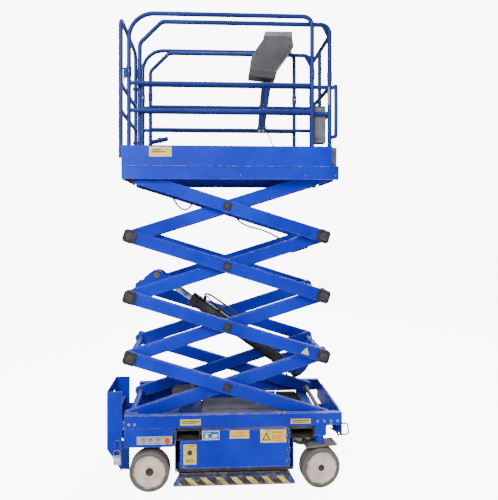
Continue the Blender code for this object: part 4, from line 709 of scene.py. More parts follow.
def pinHeads():
    for stage in range(4):
        spots = [(centreSpot(stage), armEnds["centreRadius"])]
        if stage > 0:
            spots.append((pinSpot(stage, -1), armEnds["headRadius"]))
        if stage < 3:
            spots.append((pinSpot(stage + 1, 1), armEnds["headRadius"]))
        bm = bmesh.new()
        for spot, radius in spots:
            for side in (near, far):
                pinHead(bm, spot, radius, side)
        piece(f"pin_heads_{stage + 1}", bm, "pin", f"inner_arms_{stage + 1}")


def armWelds():
    for stage in range(4):
        bm = bmesh.new()
        for spot in (pinSpot(stage, -1), pinSpot(stage + 1, 1)):
            for side in (near, far):
                place = (spot.x, side * scissor["innerFaceY"], spot.z)
                addRing(bm, place, (0, 1, 0), armEnds["weldRadius"], armEnds["weldThick"])
        piece(f"shaft_welds_{stage + 1}", bm, "shade", f"inner_arms_{stage + 1}")


armMark = {"size": 0.052, "border": 1.25, "thick": 0.0006, "along": 0.640}


# A plain triangle label on the near arm of the second stage
def armMarks():
    face = -(scissor["outerFaceY"] + 0.0002)
    middle = centreSpot(1)
    x = middle.x + armMark["along"] * math.cos(scissor["angle"])
    z = middle.z - armMark["along"] * math.sin(scissor["angle"])
    for look, size, lift in (("white", armMark["border"], 0.0), ("yellow", 1.0, 0.0003)):
        half = armMark["size"] * size / 2
        bm = bmesh.new()
        outline = [(-half, -half * 0.8), (half, -half * 0.8), (0, half * 0.95)]
        layOnArm(bm, addPrism(bm, outline, face - lift, face - lift - armMark["thick"]), x, z)
        piece(f"arm_mark_{look}", bm, look, "outer_arms_2")


armEndPlates()
pinHeads()
armWelds()
armMarks()
print("scissor detailed")


# The cylinder's eyes in x and z. Places on it are metres along from the lower eye, metres off it, and y
cylinder = {
    "lower": (0.579, 0.787),
    "upper": (-0.569, 1.6086),
    "bands": [(1.002, 0.0585, 0.018), (1.055, 0.0555, 0.012), (0.060, 0.0535, 0.026), (0.62, 0.0525, 0.016)],
    "pipe": [
        (0.335, 0.046, -0.012), (0.375, 0.070, -0.016), (0.48, 0.076, -0.016), (0.70, 0.076, -0.016),
        (0.90, 0.074, -0.016), (0.965, 0.084, -0.010), (0.985, 0.064, 0.0),
    ],
    "pipeRadius": 0.006,
    "clips": [0.43, 0.62, 0.82],
    "hose": [
        (0.972, 0.066), (0.990, 0.094), (0.955, 0.112), (0.860, 0.116),
        (0.740, 0.116), (0.650, 0.110), (0.600, 0.088), (0.580, 0.060),
    ],
    "hoseRadius": 0.0085,
    "hoseY": -0.030,
    "pinY": 0.076,
}


def cylinderSpot(along, off, y=0.0):
    lower, upper = (at(x, 0, z) for x, z in (cylinder["lower"], cylinder["upper"]))
    run = (upper - lower).normalized()
    up = Vector((run.z, 0, -run.x))
    return lower + run * along + up * off + Vector((0, y, 0))


def cylinderFittings():
    bm = bmesh.new()
    for along, radius, width in cylinder["bands"]:
        addCylinder(bm, cylinderSpot(along - width / 2, 0), cylinderSpot(along + width / 2, 0), radius, 48)
    block = addBox(bm, (-0.016, -0.016, -0.010), (0.016, 0.016, 0.010))
    bmesh.ops.translate(bm, vec=cylinderSpot(0.97, 0.058), verts=block)
    piece("barrel_bands", bm, "barrel", "cylinder_barrel", 0.0015)
    pipe = smoothPath([cylinderSpot(*knot) for knot in cylinder["pipe"]])
    tubes("barrel_pipe", [(pipe, cylinder["pipeRadius"])], "hose", "cylinder_barrel")
    bm = bmesh.new()
    for along in cylinder["clips"]:
        clip = addBox(bm, (-0.012, -0.014, -0.020), (0.012, 0.014, 0.020))
        bmesh.ops.translate(bm, vec=cylinderSpot(along, 0.062, -0.012), verts=clip)
    piece("pipe_clips", bm, "iron", "cylinder_barrel", 0.002)
    # Pin ends in the lugs, at both eyes
    profile = [(0.003, 0.0), (0.025, 0.0), (0.025, 0.010), (0.021, 0.0135), (0.003, 0.0135)]
    for eye, body, look in (("lower", "inner_arms_1", "pin"), ("upper", "inner_arms_3", "brass")):
        x, z = cylinder[eye]
        bm = bmesh.new()
        for side in (near, far):
            start = at(x, side * cylinder["pinY"], z)
            addTurned(bm, profile, start, (0, side, 0), 36)
            addHexNut(bm, start + Vector((0, side * 0.0125, 0)), (0, side, 0), 0.009, 0.008)
        piece(f"cylinder_pin_{eye}", bm, look, body)


# Outlines in x and z
lugPlates = {
    "inner_arms_1": [
        (0.470, 0.905), (0.512, 0.812), (0.548, 0.766), (0.579, 0.7565), (0.612, 0.762),
        (0.660, 0.802), (0.700, 0.862), (0.712, 0.930), (0.600, 0.925),
    ],
    "inner_arms_3": [
        (-0.700, 1.500), (-0.704, 1.548), (-0.660, 1.602), (-0.612, 1.636), (-0.569, 1.6445),
        (-0.532, 1.634), (-0.500, 1.606), (-0.448, 1.566), (-0.430, 1.532), (-0.470, 1.512),
    ],
}
stopBracket = [(0.490, 1.806), (0.520, 1.797), (0.640, 1.834), (0.652, 1.850), (0.560, 1.838), (0.500, 1.820)]


def lugCheeks():
    for body, outline in lugPlates.items():
        cuts = [(outline, side * 0.0763, side * 0.0818) for side in (near, far)]
        plates(f"lug_cheeks_{body[-1]}", "blue", body, cuts, 0.0012)
    # A dark stop bracket under the third inner arm
    plates("arm_stop_bracket", "block", "inner_arms_3", [(stopBracket, -0.238, -0.258)], 0.0015)
    hose = smoothPath([cylinderSpot(along, off, cylinder["hoseY"]) for along, off in cylinder["hose"]])
    tubes("barrel_hose", [(hose, cylinder["hoseRadius"])], "hose", "cylinder_barrel")


cylinderFittings()
lugCheeks()

hoseRuns = {
    "inner_arms_1": [
        [
            (0.600, -0.10, 0.778), (0.575, -0.105, 0.766), (0.535, -0.11, 0.766), (0.500, -0.12, 0.784),
            (0.496, -0.13, 0.820), (0.545, -0.16, 0.846), (0.62, -0.200, 0.880),
        ],
        [
            (0.60, 0.10, 0.782), (0.56, 0.105, 0.768), (0.51, 0.11, 0.770), (0.47, 0.14, 0.795),
            (0.44, 0.19, 0.83), (0.40, 0.225, 0.862),
        ],
    ],
    "outer_arms_4": [
        [
            (-0.430, -0.222, 2.240), (-0.400, -0.222, 2.190), (-0.365, -0.222, 2.152),
            (-0.325, -0.222, 2.140), (-0.290, -0.222, 2.165), (-0.265, -0.222, 2.215),
        ],
    ],
    "inner_arms_4": [
        [
            (0.06, -0.21, 2.09), (0.12, -0.215, 2.035), (0.185, -0.22, 2.005), (0.26, -0.222, 1.985),
            (0.34, -0.222, 1.955), (0.424, -0.222, 1.91), (0.47, -0.222, 1.875), (0.50, -0.225, 1.862),
        ],
    ],
}
for number, (body, runs) in enumerate(hoseRuns.items()):
    made = [(smoothPath([at(*knot) for knot in run]), 0.007) for run in runs]
    tubes(f"hydraulic_hoses_{number + 1}", made, "hose", body)
print("cylinder and hoses made")


# Heights are above the deck
rails = {
    "tube": 0.017,
    "midTube": 0.016,
    "top": 1.154,
    "midHigh": 0.625,
    "midLow": 0.418,
    "mainY": 0.3535,
    "mainRear": -0.748,
    "mainFront": 0.653,
    "mainCorner": 0.190,
    "endCorner": 0.070,
    "slideY": 0.308,
    "slideRear": -0.673,
    "slideFront": 0.802,
    "slideDrop": 0.040,
    "slideSlope": 0.170,
    "slideCorner": 0.060,
    "socket": 0.0205,
    "sleeve": 0.0203,
    "pinRadius": 0.0045,
    "gateX": -0.812,
    "gateHalf": 0.338,
    "gateLow": 0.060,
    "gateTop": 1.120,
    "chainLinks": 7,
}


def weldRings(bm, spots, axis, radius):
    for spot in spots:
        addRing(bm, spot, axis, radius, 0.0030, 24, 6)


# Mid rails along x between two posts, with a weld where each meets its post
def midRails(bm, runs, rear, front, y):
    for height in (rails["midHigh"], rails["midLow"]):
        z = deckTop + height
        runs.append(([at(rear, y, z), at(front, y, z)], rails["midTube"]))
        weldRings(bm, [at(rear + 0.0175, y, z), at(front - 0.0175, y, z)], (1, 0, 0), rails["midTube"])


def mainRails(side):
    y = side * rails["mainY"]
    floor, top = deckTop + 0.0005, deckTop + rails["top"]
    rear, front, gateX = rails["mainRear"], rails["mainFront"], rails["gateX"]
    corners = [at(rear, y, floor), at(rear, y, top), at(front, y, top), at(front, y, floor)]
    runs = [(turnedPath(corners, [rails["mainCorner"], rails["endCorner"]]), rails["tube"])]
    bm = bmesh.new()
    midRails(bm, runs, rear, front, y)
    word = sideWord[side]
    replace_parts(tubes(f"main_rails_{word}", runs, "rail", "platform"), f"main_guardrail_{word}")
    # Sockets at the posts' feet, hinge sleeves above the mid rail and their pins
    hinge = deckTop + rails["midHigh"] + 0.050
    for x in (rear, front):
        addCylinder(bm, at(x, y, floor), at(x, y, deckTop + 0.135), rails["socket"], 28)
        addSlab(bm, (x - 0.036, x + 0.036), (y - 0.0165, y + 0.0165), (deckTop + 0.0004, deckTop + 0.008))
        addCylinder(bm, at(x, y, hinge), at(x, y, hinge + 0.075), rails["socket"], 28)
        weldRings(bm, [at(x, y, hinge + 0.0375)], (0, 0, 1), 0.0200)
    if side == far:
        # The gate's two hinges
        for low, high in ((0.290, 0.310), (0.780, 0.800)):
            addSlab(bm, (gateX + 0.020, rear), (0.330, 0.3535), (deckTop + low, deckTop + high))
            profile = [(0.0188, 0.0), (0.0272, 0.0), (0.0272, high - low), (0.0188, high - low)]
            addTurned(bm, profile, at(gateX, rails["gateHalf"], deckTop + low), (0, 0, 1), 36)
    else:
        # The plate that the gate shuts against
        zs = (deckTop + 0.660, deckTop + 0.740)
        addSlab(bm, (gateX + 0.024, rear), (y - 0.0035, y + 0.0035), zs)
        addSlab(bm, (gateX + 0.024, gateX + 0.030), (y - 0.0035, y + 0.020), zs)
    piece(f"main_rail_sockets_{word}", bm, "rail", "platform", 0.0012)
    bm = bmesh.new()
    for x in (rear, front):
        for z in (deckTop + 0.085, deckTop + rails["midHigh"] + 0.087):
            start, end = at(x, y - side * 0.022, z), at(x, y + side * 0.0205, z)
            addCylinder(bm, start, end, rails["pinRadius"], 14)
            addHexNut(bm, at(x, y - side * 0.0205, z), (0, -side, 0), 0.0075, 0.006)
    piece(f"main_rail_pins_{word}", bm, "zinc", "platform")


def slideRails(side):
    y = side * rails["slideY"]
    floor, top = deckTop + 0.0122, deckTop + rails["top"] - rails["slideDrop"]
    rear, front, slope = rails["slideRear"], rails["slideFront"], rails["slideSlope"]
    corners = [(rear, floor), (rear, top - slope), (rear + slope, top), (front, top), (front, floor)]
    radii = [rails["slideCorner"], rails["slideCorner"], rails["endCorner"]]
    runs = [(turnedPath([at(x, y, z) for x, z in corners], radii), rails["tube"])]
    bm = bmesh.new()
    midRails(bm, runs, rear, front, y)
    word = sideWord[side]
    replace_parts(tubes(f"slide_rails_{word}", runs, "rail", "extension"), f"extension_guardrail_{word}")
    for x in (rear, front):
        for low, high in ((floor, floor + 0.118), (deckTop + 0.675, deckTop + 0.742)):
            addCylinder(bm, at(x, y, low), at(x, y, high), rails["sleeve"], 28)
    gusset = [
        (front - 0.066, top - 0.012), (front - 0.012, top - 0.110),
        (front - 0.012, top - 0.062), (front - 0.036, top - 0.020),
    ]
    addPlate(bm, gusset, y - 0.004, y + 0.004)
    piece(f"slide_rail_sleeves_{word}", bm, "rail", "extension", 0.0012)


def frontRails():
    half, x = rails["slideY"] - 0.0173, rails["slideFront"]
    top = deckTop + rails["top"] - rails["slideDrop"] - rails["endCorner"] - rails["tube"]
    low = deckTop + rails["midLow"]
    runs = []
    bm = bmesh.new()
    for z in (top, deckTop + rails["midHigh"], low):
        runs.append(([at(x, -half, z), at(x, half, z)], rails["midTube"]))
        ends = [at(x, -half + 0.001, z), at(x, half - 0.001, z)]
        weldRings(bm, ends, (0, 1, 0), rails["midTube"] - 0.001)
    runs.append(([at(x, 0, low), at(x, 0, top)], rails["midTube"]))
    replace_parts(tubes("front_rails", runs, "rail", "extension"), "front_guardrail")
    piece("front_rail_welds", bm, "rail", "extension")


def gate():
    low, top = deckTop + rails["gateLow"], deckTop + rails["gateTop"]
    x, half = rails["gateX"], rails["gateHalf"]
    corners = [at(x, half, low), at(x, half, top), at(x, -half, top), at(x, -half, low)]
    runs = [(turnedPath(corners, [rails["slideCorner"]] * 2), rails["tube"])]
    bm = bmesh.new()
    for height in (rails["gateLow"] + 0.017, rails["midLow"], rails["midHigh"]):
        z = deckTop + height
        runs.append(([at(x, -half, z), at(x, half, z)], rails["midTube"]))
        weldRings(bm, [at(x, -half + 0.0175, z), at(x, half - 0.0175, z)], (0, 1, 0), rails["midTube"])
    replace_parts(tubes("gate_loop", runs, "rail", "gate"), "entry_gate")
    # The kick plate, its folded edge and the latch tongue
    addSlab(bm, (x - 0.0015, x + 0.0015), (-half, half), (low, deckTop + 0.150))
    addSlab(bm, (x - 0.006, x + 0.006), (-half, half), (deckTop + 0.144, deckTop + 0.150))
    addSlab(bm, (x - 0.0035, x + 0.0035), (-half - 0.012, -half - 0.002), (deckTop + 0.680, deckTop + 0.722))
    piece("gate_kick_plate", bm, "rail", "gate", 0.0010)
    # A short chain hangs from the gate's free post, on its hook
    bm = bmesh.new()
    for link in range(rails["chainLinks"]):
        centre = at(x + 0.018, -half + 0.021, deckTop + 0.735 - link * 0.0145)
        addRing(bm, centre, (1, 0, 0) if link % 2 else (0, 1, 0), 0.0075, 0.0019, 18, 6)
    hook = deckTop + 0.745
    addCylinder(bm, at(x + 0.016, -half + 0.010, hook), at(x + 0.020, -half + 0.034, hook), 0.006, 16)
    piece("gate_latch_chain", bm, "zinc", "gate")


for side in (near, far):
    mainRails(side)
    slideRails(side)
frontRails()
gate()
print("rails made")


# Outlines in x and z
console = {
    "nearY": 0.150,
    "farY": 0.285,
    "hood": [
        (0.356, 3.731), (0.596, 3.7355), (0.596, 3.683), (0.610, 3.603), (0.453, 3.378),
        (0.444, 3.315), (0.213, 3.339), (0.239, 3.525), (0.347, 3.678),
    ],
    "lid": [(0.352, 3.688), (0.352, 3.7345), (0.598, 3.7358), (0.598, 3.690)],
    "foot": [(0.2115, 3.338), (0.446, 3.3135), (0.4585, 3.372), (0.218, 3.398)],
    "screws": [(0.262, 3.43), (0.42, 3.41), (0.380, 3.665), (0.570, 3.665), (0.575, 3.60), (0.285, 3.53)],
    "sheet": 0.003,
    "rim": 0.006,
}


def outlineIn(points, gap):
    cx = sum(p[0] for p in points) / len(points)
    cz = sum(p[1] for p in points) / len(points)
    moved = []
    for x, z in points:
        away = Vector((x - cx, z - cz)).normalized()
        moved.append((x - away.x * gap, z - away.y * gap))
    return moved


def controlConsole():
    points = [(x + middleX, z) for x, z in console["hood"]]
    inner = outlineIn(points, console["rim"])
    y0, y1 = console["nearY"], console["farY"]
    bm = bmesh.new()
    # Near face and folded rim, with the far side left open
    addPrism(bm, points, y0, y0 + console["sheet"])
    for i in range(len(points)):
        j = (i + 1) % len(points)
        addPrism(bm, [points[i], points[j], inner[j], inner[i]], y0 + 0.001, y1)
    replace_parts(piece("console_hood", bm, "console", "extension", 0.0025), "control_console")
    # The lighter lid over the top, and a darker band along the foot: painted shade under the lower lip
    plates("console_lid", "consoleTop", "extension", [(console["lid"], y0 - 0.002, y1 + 0.001)], 0.006)
    plates("console_foot", "consoleFoot", "extension", [(console["foot"], y0 - 0.0015, y1 - 0.004)], 0.003)
    spots = [(at(x, y0, z), (0, -1, 0)) for x, z in console["screws"]]
    nuts("console_screws", "consoleFoot", "extension", spots, 0.006, 0.004)
    # Grip and lever on the side that faces the driver
    bm = bmesh.new()
    addSlab(bm, (0.300, 0.330), (0.165, 0.270), (3.500, 3.535))
    addCylinder(bm, at(0.44, 0.215, 3.55), at(0.405, 0.215, 3.595), 0.010, 20, 0.013)
    piece("console_grip", bm, "hose", "extension", 0.003)


grabBar = {
    "knots": [(0.818, 3.092), (0.842, 3.100), (0.852, 3.075), (0.852, 2.745), (0.844, 2.715), (0.818, 2.706)],
    "radius": 0.015,
}


def frontPostTrim():
    low, high = boxOf("document_box")
    bm = bmesh.new()
    for z0, z1 in ((high.z - 0.012, high.z - 0.002), (low.z + 0.030, low.z + 0.036)):
        addBox(bm, (low.x - 0.0015, low.y, z0), (high.x + 0.0015, high.y + 0.0015, z1))
    piece("document_box_rim", bm, "boxGrey", "extension", 0.001)
    strip = ((0.786, 0.800), (-0.325, -0.3215), (2.955, 3.095))
    slabs("front_post_strip", "tan", "extension", [strip], 0.001)
    bm = bmesh.new()
    addCylinder(bm, at(-0.66, 0.272, 2.765), at(-0.51, 0.272, 2.800), 0.020, 24)
    addSlab(bm, (-0.60, -0.565), (0.254, 0.290), (2.762, 2.806))
    piece("socket_outlet", bm, "rail", "extension", 0.003)
    bar = smoothPath([at(x, -rails["slideY"], z) for x, z in grabBar["knots"]])
    tubes("front_grab_bar", [(bar, grabBar["radius"])], "rail", "extension")


bracket = {
    "bolts": [(0.318, 2.880), (0.352, 2.880), (0.352, 3.080), (0.385, 3.270), (0.360, 3.285)],
    "uBoltX": [0.318, 0.356],
    "uBoltRadius": 0.0035,
}


def bracketTrim():
    face = boxOf("console_bracket")[0].y
    spots = [(at(x, face, z), (0, -1, 0)) for x, z in bracket["bolts"]]
    nuts("bracket_bolts", "zinc", "extension", spots, 0.008, 0.006)
    # U-bolts round the mid rails
    runs = []
    y, reach = rails["slideY"], rails["midTube"] + 0.005
    for z in (deckTop + rails["midHigh"], deckTop + rails["midLow"]):
        for x in bracket["uBoltX"]:
            turns = [math.pi * k / 12 for k in range(13)]
            loop = [at(x, y + reach * math.sin(a), z + reach * math.cos(a)) for a in turns]
            start, end = (at(x, face + 0.003, point.z) for point in (loop[0], loop[-1]))
            runs.append(([start, *loop, end], bracket["uBoltRadius"]))
    tubes("bracket_u_bolts", runs, "zinc", "extension")


controlConsole()
frontPostTrim()
bracketTrim()
print("console made")


platform = {
    "seamWelds": 9,
    "weldHalf": 0.052,
    "channels": 6,
    "channelStep": 0.26,
    "boltX": [-0.77, 0.10, 0.60, 0.83],
}


def platformDetails():
    low, high = boxOf("toe_board_near")
    # A rolled bead along the top of each kick plate
    bm = bmesh.new()
    for side in (near, far):
        inY, outY = sorted((-side * low.y - side * 0.010, -side * low.y))
        addBox(bm, (low.x, inY, high.z - 0.004), (high.x, outY, high.z))
    piece("toe_board_tops", bm, "blue", "platform", 0.0012)
    # Stitch welds along the seam where the kick plate meets the deck's side
    bm = bmesh.new()
    for i in range(platform["seamWelds"]):
        x = low.x + (high.x - low.x) * (i + 0.5) / platform["seamWelds"]
        for side in (near, far):
            y0, y1 = sorted((side * 0.3715, side * 0.3747))
            half = platform["weldHalf"]
            addBox(bm, (x - half, y0, deckTop - 0.0078), (x + half, y1, deckTop - 0.0035))
    piece("deck_seam_welds", bm, "shade", "platform", 0.0008)
    # Channels under the floor
    bm = bmesh.new()
    for i in range(platform["channels"]):
        x = low.x + 0.16 + i * platform["channelStep"]
        addBox(bm, (x, -0.215, 2.436), (x + 0.004, 0.215, 2.4635))
        addBox(bm, (x, -0.215, 2.436), (x + 0.034, 0.215, 2.440))
    addSlab(bm, (-0.70, 0.80), (-0.010, 0.010), (2.447, 2.4635))
    piece("floor_channels", bm, "shade", "platform", 0.001)
    spots = [(at(x, side * 0.3705, 2.398), (0, side, 0)) for side in (near, far) for x in platform["boltX"]]
    nuts("deck_side_bolts", "blue", "platform", spots, 0.006, 0.0035)
    # A blank label with two bars
    slabs("toe_board_label", "yellow", "platform", [((-0.594, -0.424), (-0.3748, -0.3742), (2.536, 2.611))])
    ys = (-0.3751, -0.3747)
    bars = [((-0.575, -0.470), ys, (2.567, 2.576)), ((-0.575, -0.505), ys, (2.584, 2.592))]
    slabs("toe_board_label_bars", "ink", "platform", bars)


platformDetails()

chassis = {"railY": 0.380, "doorY": 0.378, "labelThick": 0.0006, "markThick": 0.0004}


def label(name, x0, x1, z0, z1, look, body="chassis", y=-chassis["doorY"], lift=0.0003):
    slabs(name, look, body, [((x0, x1), (y - lift - chassis["labelThick"], y - lift), (z0, z1))])


def labelMarks(name, look, body, shapes, y=-chassis["doorY"], lift=0.0011):
    bm = bmesh.new()
    for shape in shapes:
        addPlate(bm, shape, y - lift, y - lift - chassis["markThick"])
    piece(name, bm, look, body, smooth=False)


def bar(x0, x1, z0, z1):
    return [(x0, z0), (x1, z0), (x1, z1), (x0, z1)]


def disc(x, z, radius, steps=20):
    turns = [2 * math.pi * i / steps for i in range(steps)]
    return [(x + radius * math.cos(a), z + radius * math.sin(a)) for a in turns]


# Blank labels with plain bars and shapes, on the near door and the near rail
def doorLabels():
    door = "door_near"
    label("label_tall_yellow", -0.335, -0.237, 0.205, 0.358, "yellow", door)
    shapes = [disc(-0.287, 0.294, 0.0195), bar(-0.325, -0.247, 0.345, 0.350)]
    shapes += [bar(-0.318, -0.256, z, z + 0.006) for z in (0.222, 0.236)]
    labelMarks("label_tall_marks", "ink", door, shapes)
    label("label_blue_back", -0.193, -0.062, 0.388, 0.457, "white", door)
    label("label_blue_field", -0.188, -0.067, 0.393, 0.452, "blueLabel", door, lift=0.0010)
    shapes = [
        bar(-0.180, -0.128, 0.436, 0.443), disc(-0.160, 0.418, 0.012),
        bar(-0.120, -0.078, 0.410, 0.430), bar(-0.178, -0.080, 0.400, 0.404),
    ]
    labelMarks("label_blue_marks", "white", door, shapes, lift=0.0018)
    label("label_wide_yellow", 0.016, 0.164, 0.395, 0.457, "yellow", door)
    shapes = [bar(0.045, 0.135, 0.434, 0.444)] + [bar(0.030, 0.150, z, z + 0.005) for z in (0.408, 0.419)]
    labelMarks("label_wide_marks", "orange", door, shapes)
    label("label_triangle_back", 0.249, 0.448, 0.359, 0.458, "yellow", door)
    labelMarks("label_triangle", "ink", door, [[(0.262, 0.376), (0.328, 0.376), (0.295, 0.440)]])
    inside = [(0.275, 0.383), (0.315, 0.383), (0.295, 0.423)]
    labelMarks("label_triangle_inside", "yellow", door, [inside], lift=0.0016)
    shapes = [bar(0.340, 0.438, 0.432, 0.443)]
    for x, z in ((0.430, 0.412), (0.436, 0.400), (0.420, 0.388), (0.436, 0.374)):
        shapes.append(bar(0.340, x, z, z + 0.005))
    labelMarks("label_triangle_bars", "orange", door, shapes)
    y = -chassis["railY"]
    for number, (x0, x1, z0, z1) in enumerate(((-0.359, -0.204, 0.503, 0.548), (0.482, 0.636, 0.500, 0.536))):
        label(f"rail_label_{number + 1}", x0, x1, z0, z1, "yellow", y=y)
        middle = (z0 + z1) / 2
        shapes = [
            bar(x0 + 0.012, x1 - 0.012, middle + 0.003, middle + 0.010),
            bar(x0 + 0.012, x1 - 0.04, middle - 0.010, middle - 0.004),
        ]
        labelMarks(f"rail_label_bars_{number + 1}", "ink", "chassis", shapes, y=y)


doorFittings = {
    "hingeX": 0.478,
    "hingeZ": [0.215, 0.300, 0.410],
    "latchX": [-0.335, -0.311],
    "ribs": [
        ((-0.352, 0.466), (0.180, 0.1825)), ((-0.187, 0.466), (0.4575, 0.460)),
        ((0.4635, 0.466), (0.180, 0.460)), ((-0.352, -0.3495), (0.180, 0.376)),
    ],
}


def doorHardware():
    for side in (near, far):
        word = sideWord[side]
        y = side * chassis["doorY"]
        barrelX, barrelY = doorFittings["hingeX"], y - side * 0.004
        bm = bmesh.new()
        for z in doorFittings["hingeZ"]:
            addCylinder(bm, at(barrelX, barrelY, z - 0.020), at(barrelX, barrelY, z + 0.020), 0.0048, 20)
            addSlab(bm, (0.446, 0.474), (y, y + side * 0.0012), (z - 0.017, z + 0.017))
        addSlab(bm, (-0.345, -0.300), (y, y + side * 0.0014), (0.182, 0.198))  # latch plate
        piece(f"door_hinges_{word}", bm, "shade", f"door_{word}", 0.0008)
        bm = bmesh.new()
        face = y + side * 0.0008
        for x in doorFittings["latchX"]:
            addHexNut(bm, at(x, face, 0.190), (0, side, 0), 0.0045, 0.0030)
        for z in doorFittings["hingeZ"]:
            addHexNut(bm, at(0.456, face, z), (0, side, 0), 0.0048, 0.0030)
        piece(f"door_screws_{word}", bm, "zinc", f"door_{word}")
        # A pressed rib round the door's edge
        boxes = [(xs, (y, face), zs) for xs, zs in doorFittings["ribs"]]
        slabs(f"door_rib_{word}", "blue", f"door_{word}", boxes, 0.0004)


panel = {"switches": [(-0.640, 0.004), (-0.585, -0.003), (-0.530, 0.003)], "switchZ": 0.393, "stopX": -0.456}


def controlPanel():
    y, z = boxOf("ground_control_plate")[0].y + 0.0105, panel["switchZ"]
    # Black switches with levers, each x with its lever's tilt
    boot = [(0.002, 0.0), (0.0155, 0.0), (0.0145, 0.0035), (0.010, 0.0075), (0.002, 0.0075)]
    bm = bmesh.new()
    for x, tilt in panel["switches"]:
        addTurned(bm, boot, at(x, y, z), (0, -1, 0), 28)
        addCylinder(bm, at(x, y - 0.006, z), at(x + tilt, y - 0.0125, z + 0.007), 0.0042, 14, 0.0052)
    piece("panel_switches", bm, "hose", "chassis")
    bm = bmesh.new()
    for x in (-0.676, -0.429):
        for screwZ in (0.369, 0.417):
            addHexNut(bm, at(x, y - 0.0003, screwZ), (0, -1, 0), 0.0040, 0.0022)
    addSlab(bm, (-0.664, -0.445), (y - 0.0006, y + 0.0002), (0.4105, 0.4165))
    piece("panel_screws", bm, "zinc", "chassis")
    bars = [bar(x - 0.015, x + 0.014, 0.369, 0.373) for x, tilt in panel["switches"]]
    labelMarks("panel_marks", "ink", "chassis", bars, y=y, lift=0.0004)
    bm = bmesh.new()
    ring = [(0.0200, 0.0), (0.0285, 0.0), (0.0285, 0.0012), (0.0200, 0.0012)]
    addTurned(bm, ring, at(panel["stopX"], y - 0.0002, z), (0, -1, 0), 36)
    piece("stop_button_ring", bm, "yellow", "chassis")


chassisRail = {
    "boltX": [-0.745, -0.700, 0.690, 0.742, 0.793, 0.845],
    "rear": -0.779,
    "front": 0.879,
    "frontFace": 0.8903,
}


def chassisHardware():
    bm = bmesh.new()
    for side in (near, far):
        for x in chassisRail["boltX"]:
            addHexNut(bm, at(x, side * 0.379, 0.516), (0, side, 0), 0.0085, 0.0045)
        addHexNut(bm, at(0.7935, side * 0.3795, 0.4905), (0, side, 0), 0.008, 0.0045)
    piece("rail_bolts", bm, "zinc", "chassis")
    # A weld line under the rail and its rolled upper lip
    boxes = []
    for side in (near, far):
        y = side * chassis["railY"]
        for depth, z0, z1 in ((0.003, 0.4815, 0.4845), (0.040, 0.5775, 0.5795)):
            boxes.append(((chassisRail["rear"], chassisRail["front"]), (y, y - side * depth), (z0, z1)))
    slabs("rail_lips", "blue", "chassis", boxes, 0.001)
    # The front plate's bolts, its folded top edge and ribs
    x = chassisRail["frontFace"]
    spots = [(at(x - 0.0004, y, z), (1, 0, 0)) for y in (-0.235, -0.10, 0.10, 0.235) for z in (0.405, 0.540)]
    nuts("front_plate_bolts", "zinc", "chassis", spots, 0.0095, 0.006)
    boxes = [((x - 0.010, x + 0.006), (-0.262, 0.262), (0.5605, 0.5655))]
    boxes += [((x - 0.001, x + 0.010), (y - 0.004, y + 0.004), (0.40, 0.561)) for y in (-0.18, 0.18)]
    slabs("front_plate_ribs", "shade", "chassis", boxes, 0.0015)
    # Small pads for the tie rings
    boxes = [((x - 0.0005, x + 0.004), (-0.240, -0.210), (z - 0.014, z + 0.014)) for z in (0.3355, 0.425)]
    slabs("tie_ring_pads", "shade", "chassis", boxes, 0.001)
    # Skirts under the doors and beams under the bay, inboard of the folding guards, in dark iron: they also
    # serve as painted shade, hiding the glowing floor under the chassis
    boxes = [((-0.392, 0.497), (side * 0.340, side * 0.3665), (0.1435, 0.1685)) for side in (near, far)]
    slabs("bay_shade_skirts", "iron", "chassis", boxes, 0.001)
    boxes = [((-0.385, 0.490), (side * 0.215, side * 0.245), (0.068, 0.1445)) for side in (near, far)]
    slabs("belly_shade_beams", "iron", "chassis", boxes, 0.003)
    # A sheet in the darker blue covers the rear pocket's roof: painted shade where the roof sits in shadow
    ys = (-0.325, 0.325)
    boxes = [((-0.388, -0.214), ys, (0.4632, 0.4646)), ((-0.388, -0.384), ys, (0.4640, 0.4700))]
    slabs("pocket_roof_shade_sheet", "shade", "chassis", boxes, 0.0006)
    # A catch on the near rail's top
    bm = bmesh.new()
    addSlab(bm, (0.360, 0.452), (-0.372, -0.348), (0.5793, 0.5835))
    for x in (0.374, 0.406, 0.438):
        addHexNut(bm, at(x, -0.360, 0.583), (0, 0, 1), 0.0085, 0.0065)
    piece("rail_catch", bm, "zinc", "chassis", 0.0008)


battery = {
    "cells": 4,
    "caps": 3,
    "capRadius": 0.017,
    "gap": 0.006,
    "lead": [(-0.05, 0.012), (-0.02, 0.024), (0.02, 0.024), (0.05, 0.012)],
    "leadY": 0.035,
    "leadRadius": 0.006,
}


def bayContents():
    low, high = boxOf("battery_pack")
    cells, gap = battery["cells"], battery["gap"]
    width = (high.x - low.x) / cells
    y, z = (low.y + high.y) / 2, high.z
    # Battery lids and their caps
    bm = bmesh.new()
    for i in range(cells):
        x0, x1 = low.x + i * width + gap, low.x + (i + 1) * width - gap
        addBox(bm, (x0, low.y + gap, z - 0.002), (x1, high.y - gap, z + 0.010))
        for j in range(battery["caps"]):
            x = x0 + (x1 - x0) * (j + 0.5) / battery["caps"]
            addCylinder(bm, (x, y, z + 0.009), (x, y, z + 0.018), battery["capRadius"], 24)
    piece("battery_lids", bm, "bay", "chassis", 0.002)
    runs = []
    for i in range(1, cells):
        x, leadY = low.x + i * width, low.y + battery["leadY"]
        knots = [(x + dx, leadY, z + dz) for dx, dz in battery["lead"]]
        runs.append((smoothPath(knots), battery["leadRadius"]))
    tubes("battery_leads", runs, "red", "chassis")
    # The oil tank stands behind the pack, with its filler cap
    bm = bmesh.new()
    addSlab(bm, (-0.461, -0.266), (0.100, 0.220), (0.480, 0.598))
    addCylinder(bm, at(-0.320, 0.160, 0.597), at(-0.320, 0.160, 0.606), 0.022, 24)
    piece("oil_tank", bm, "tank", "chassis", 0.004)


tray = {"ribs": 5, "ribStep": 0.11, "ribHalf": 0.010, "screwY": [-0.32, -0.11, 0.11, 0.32]}


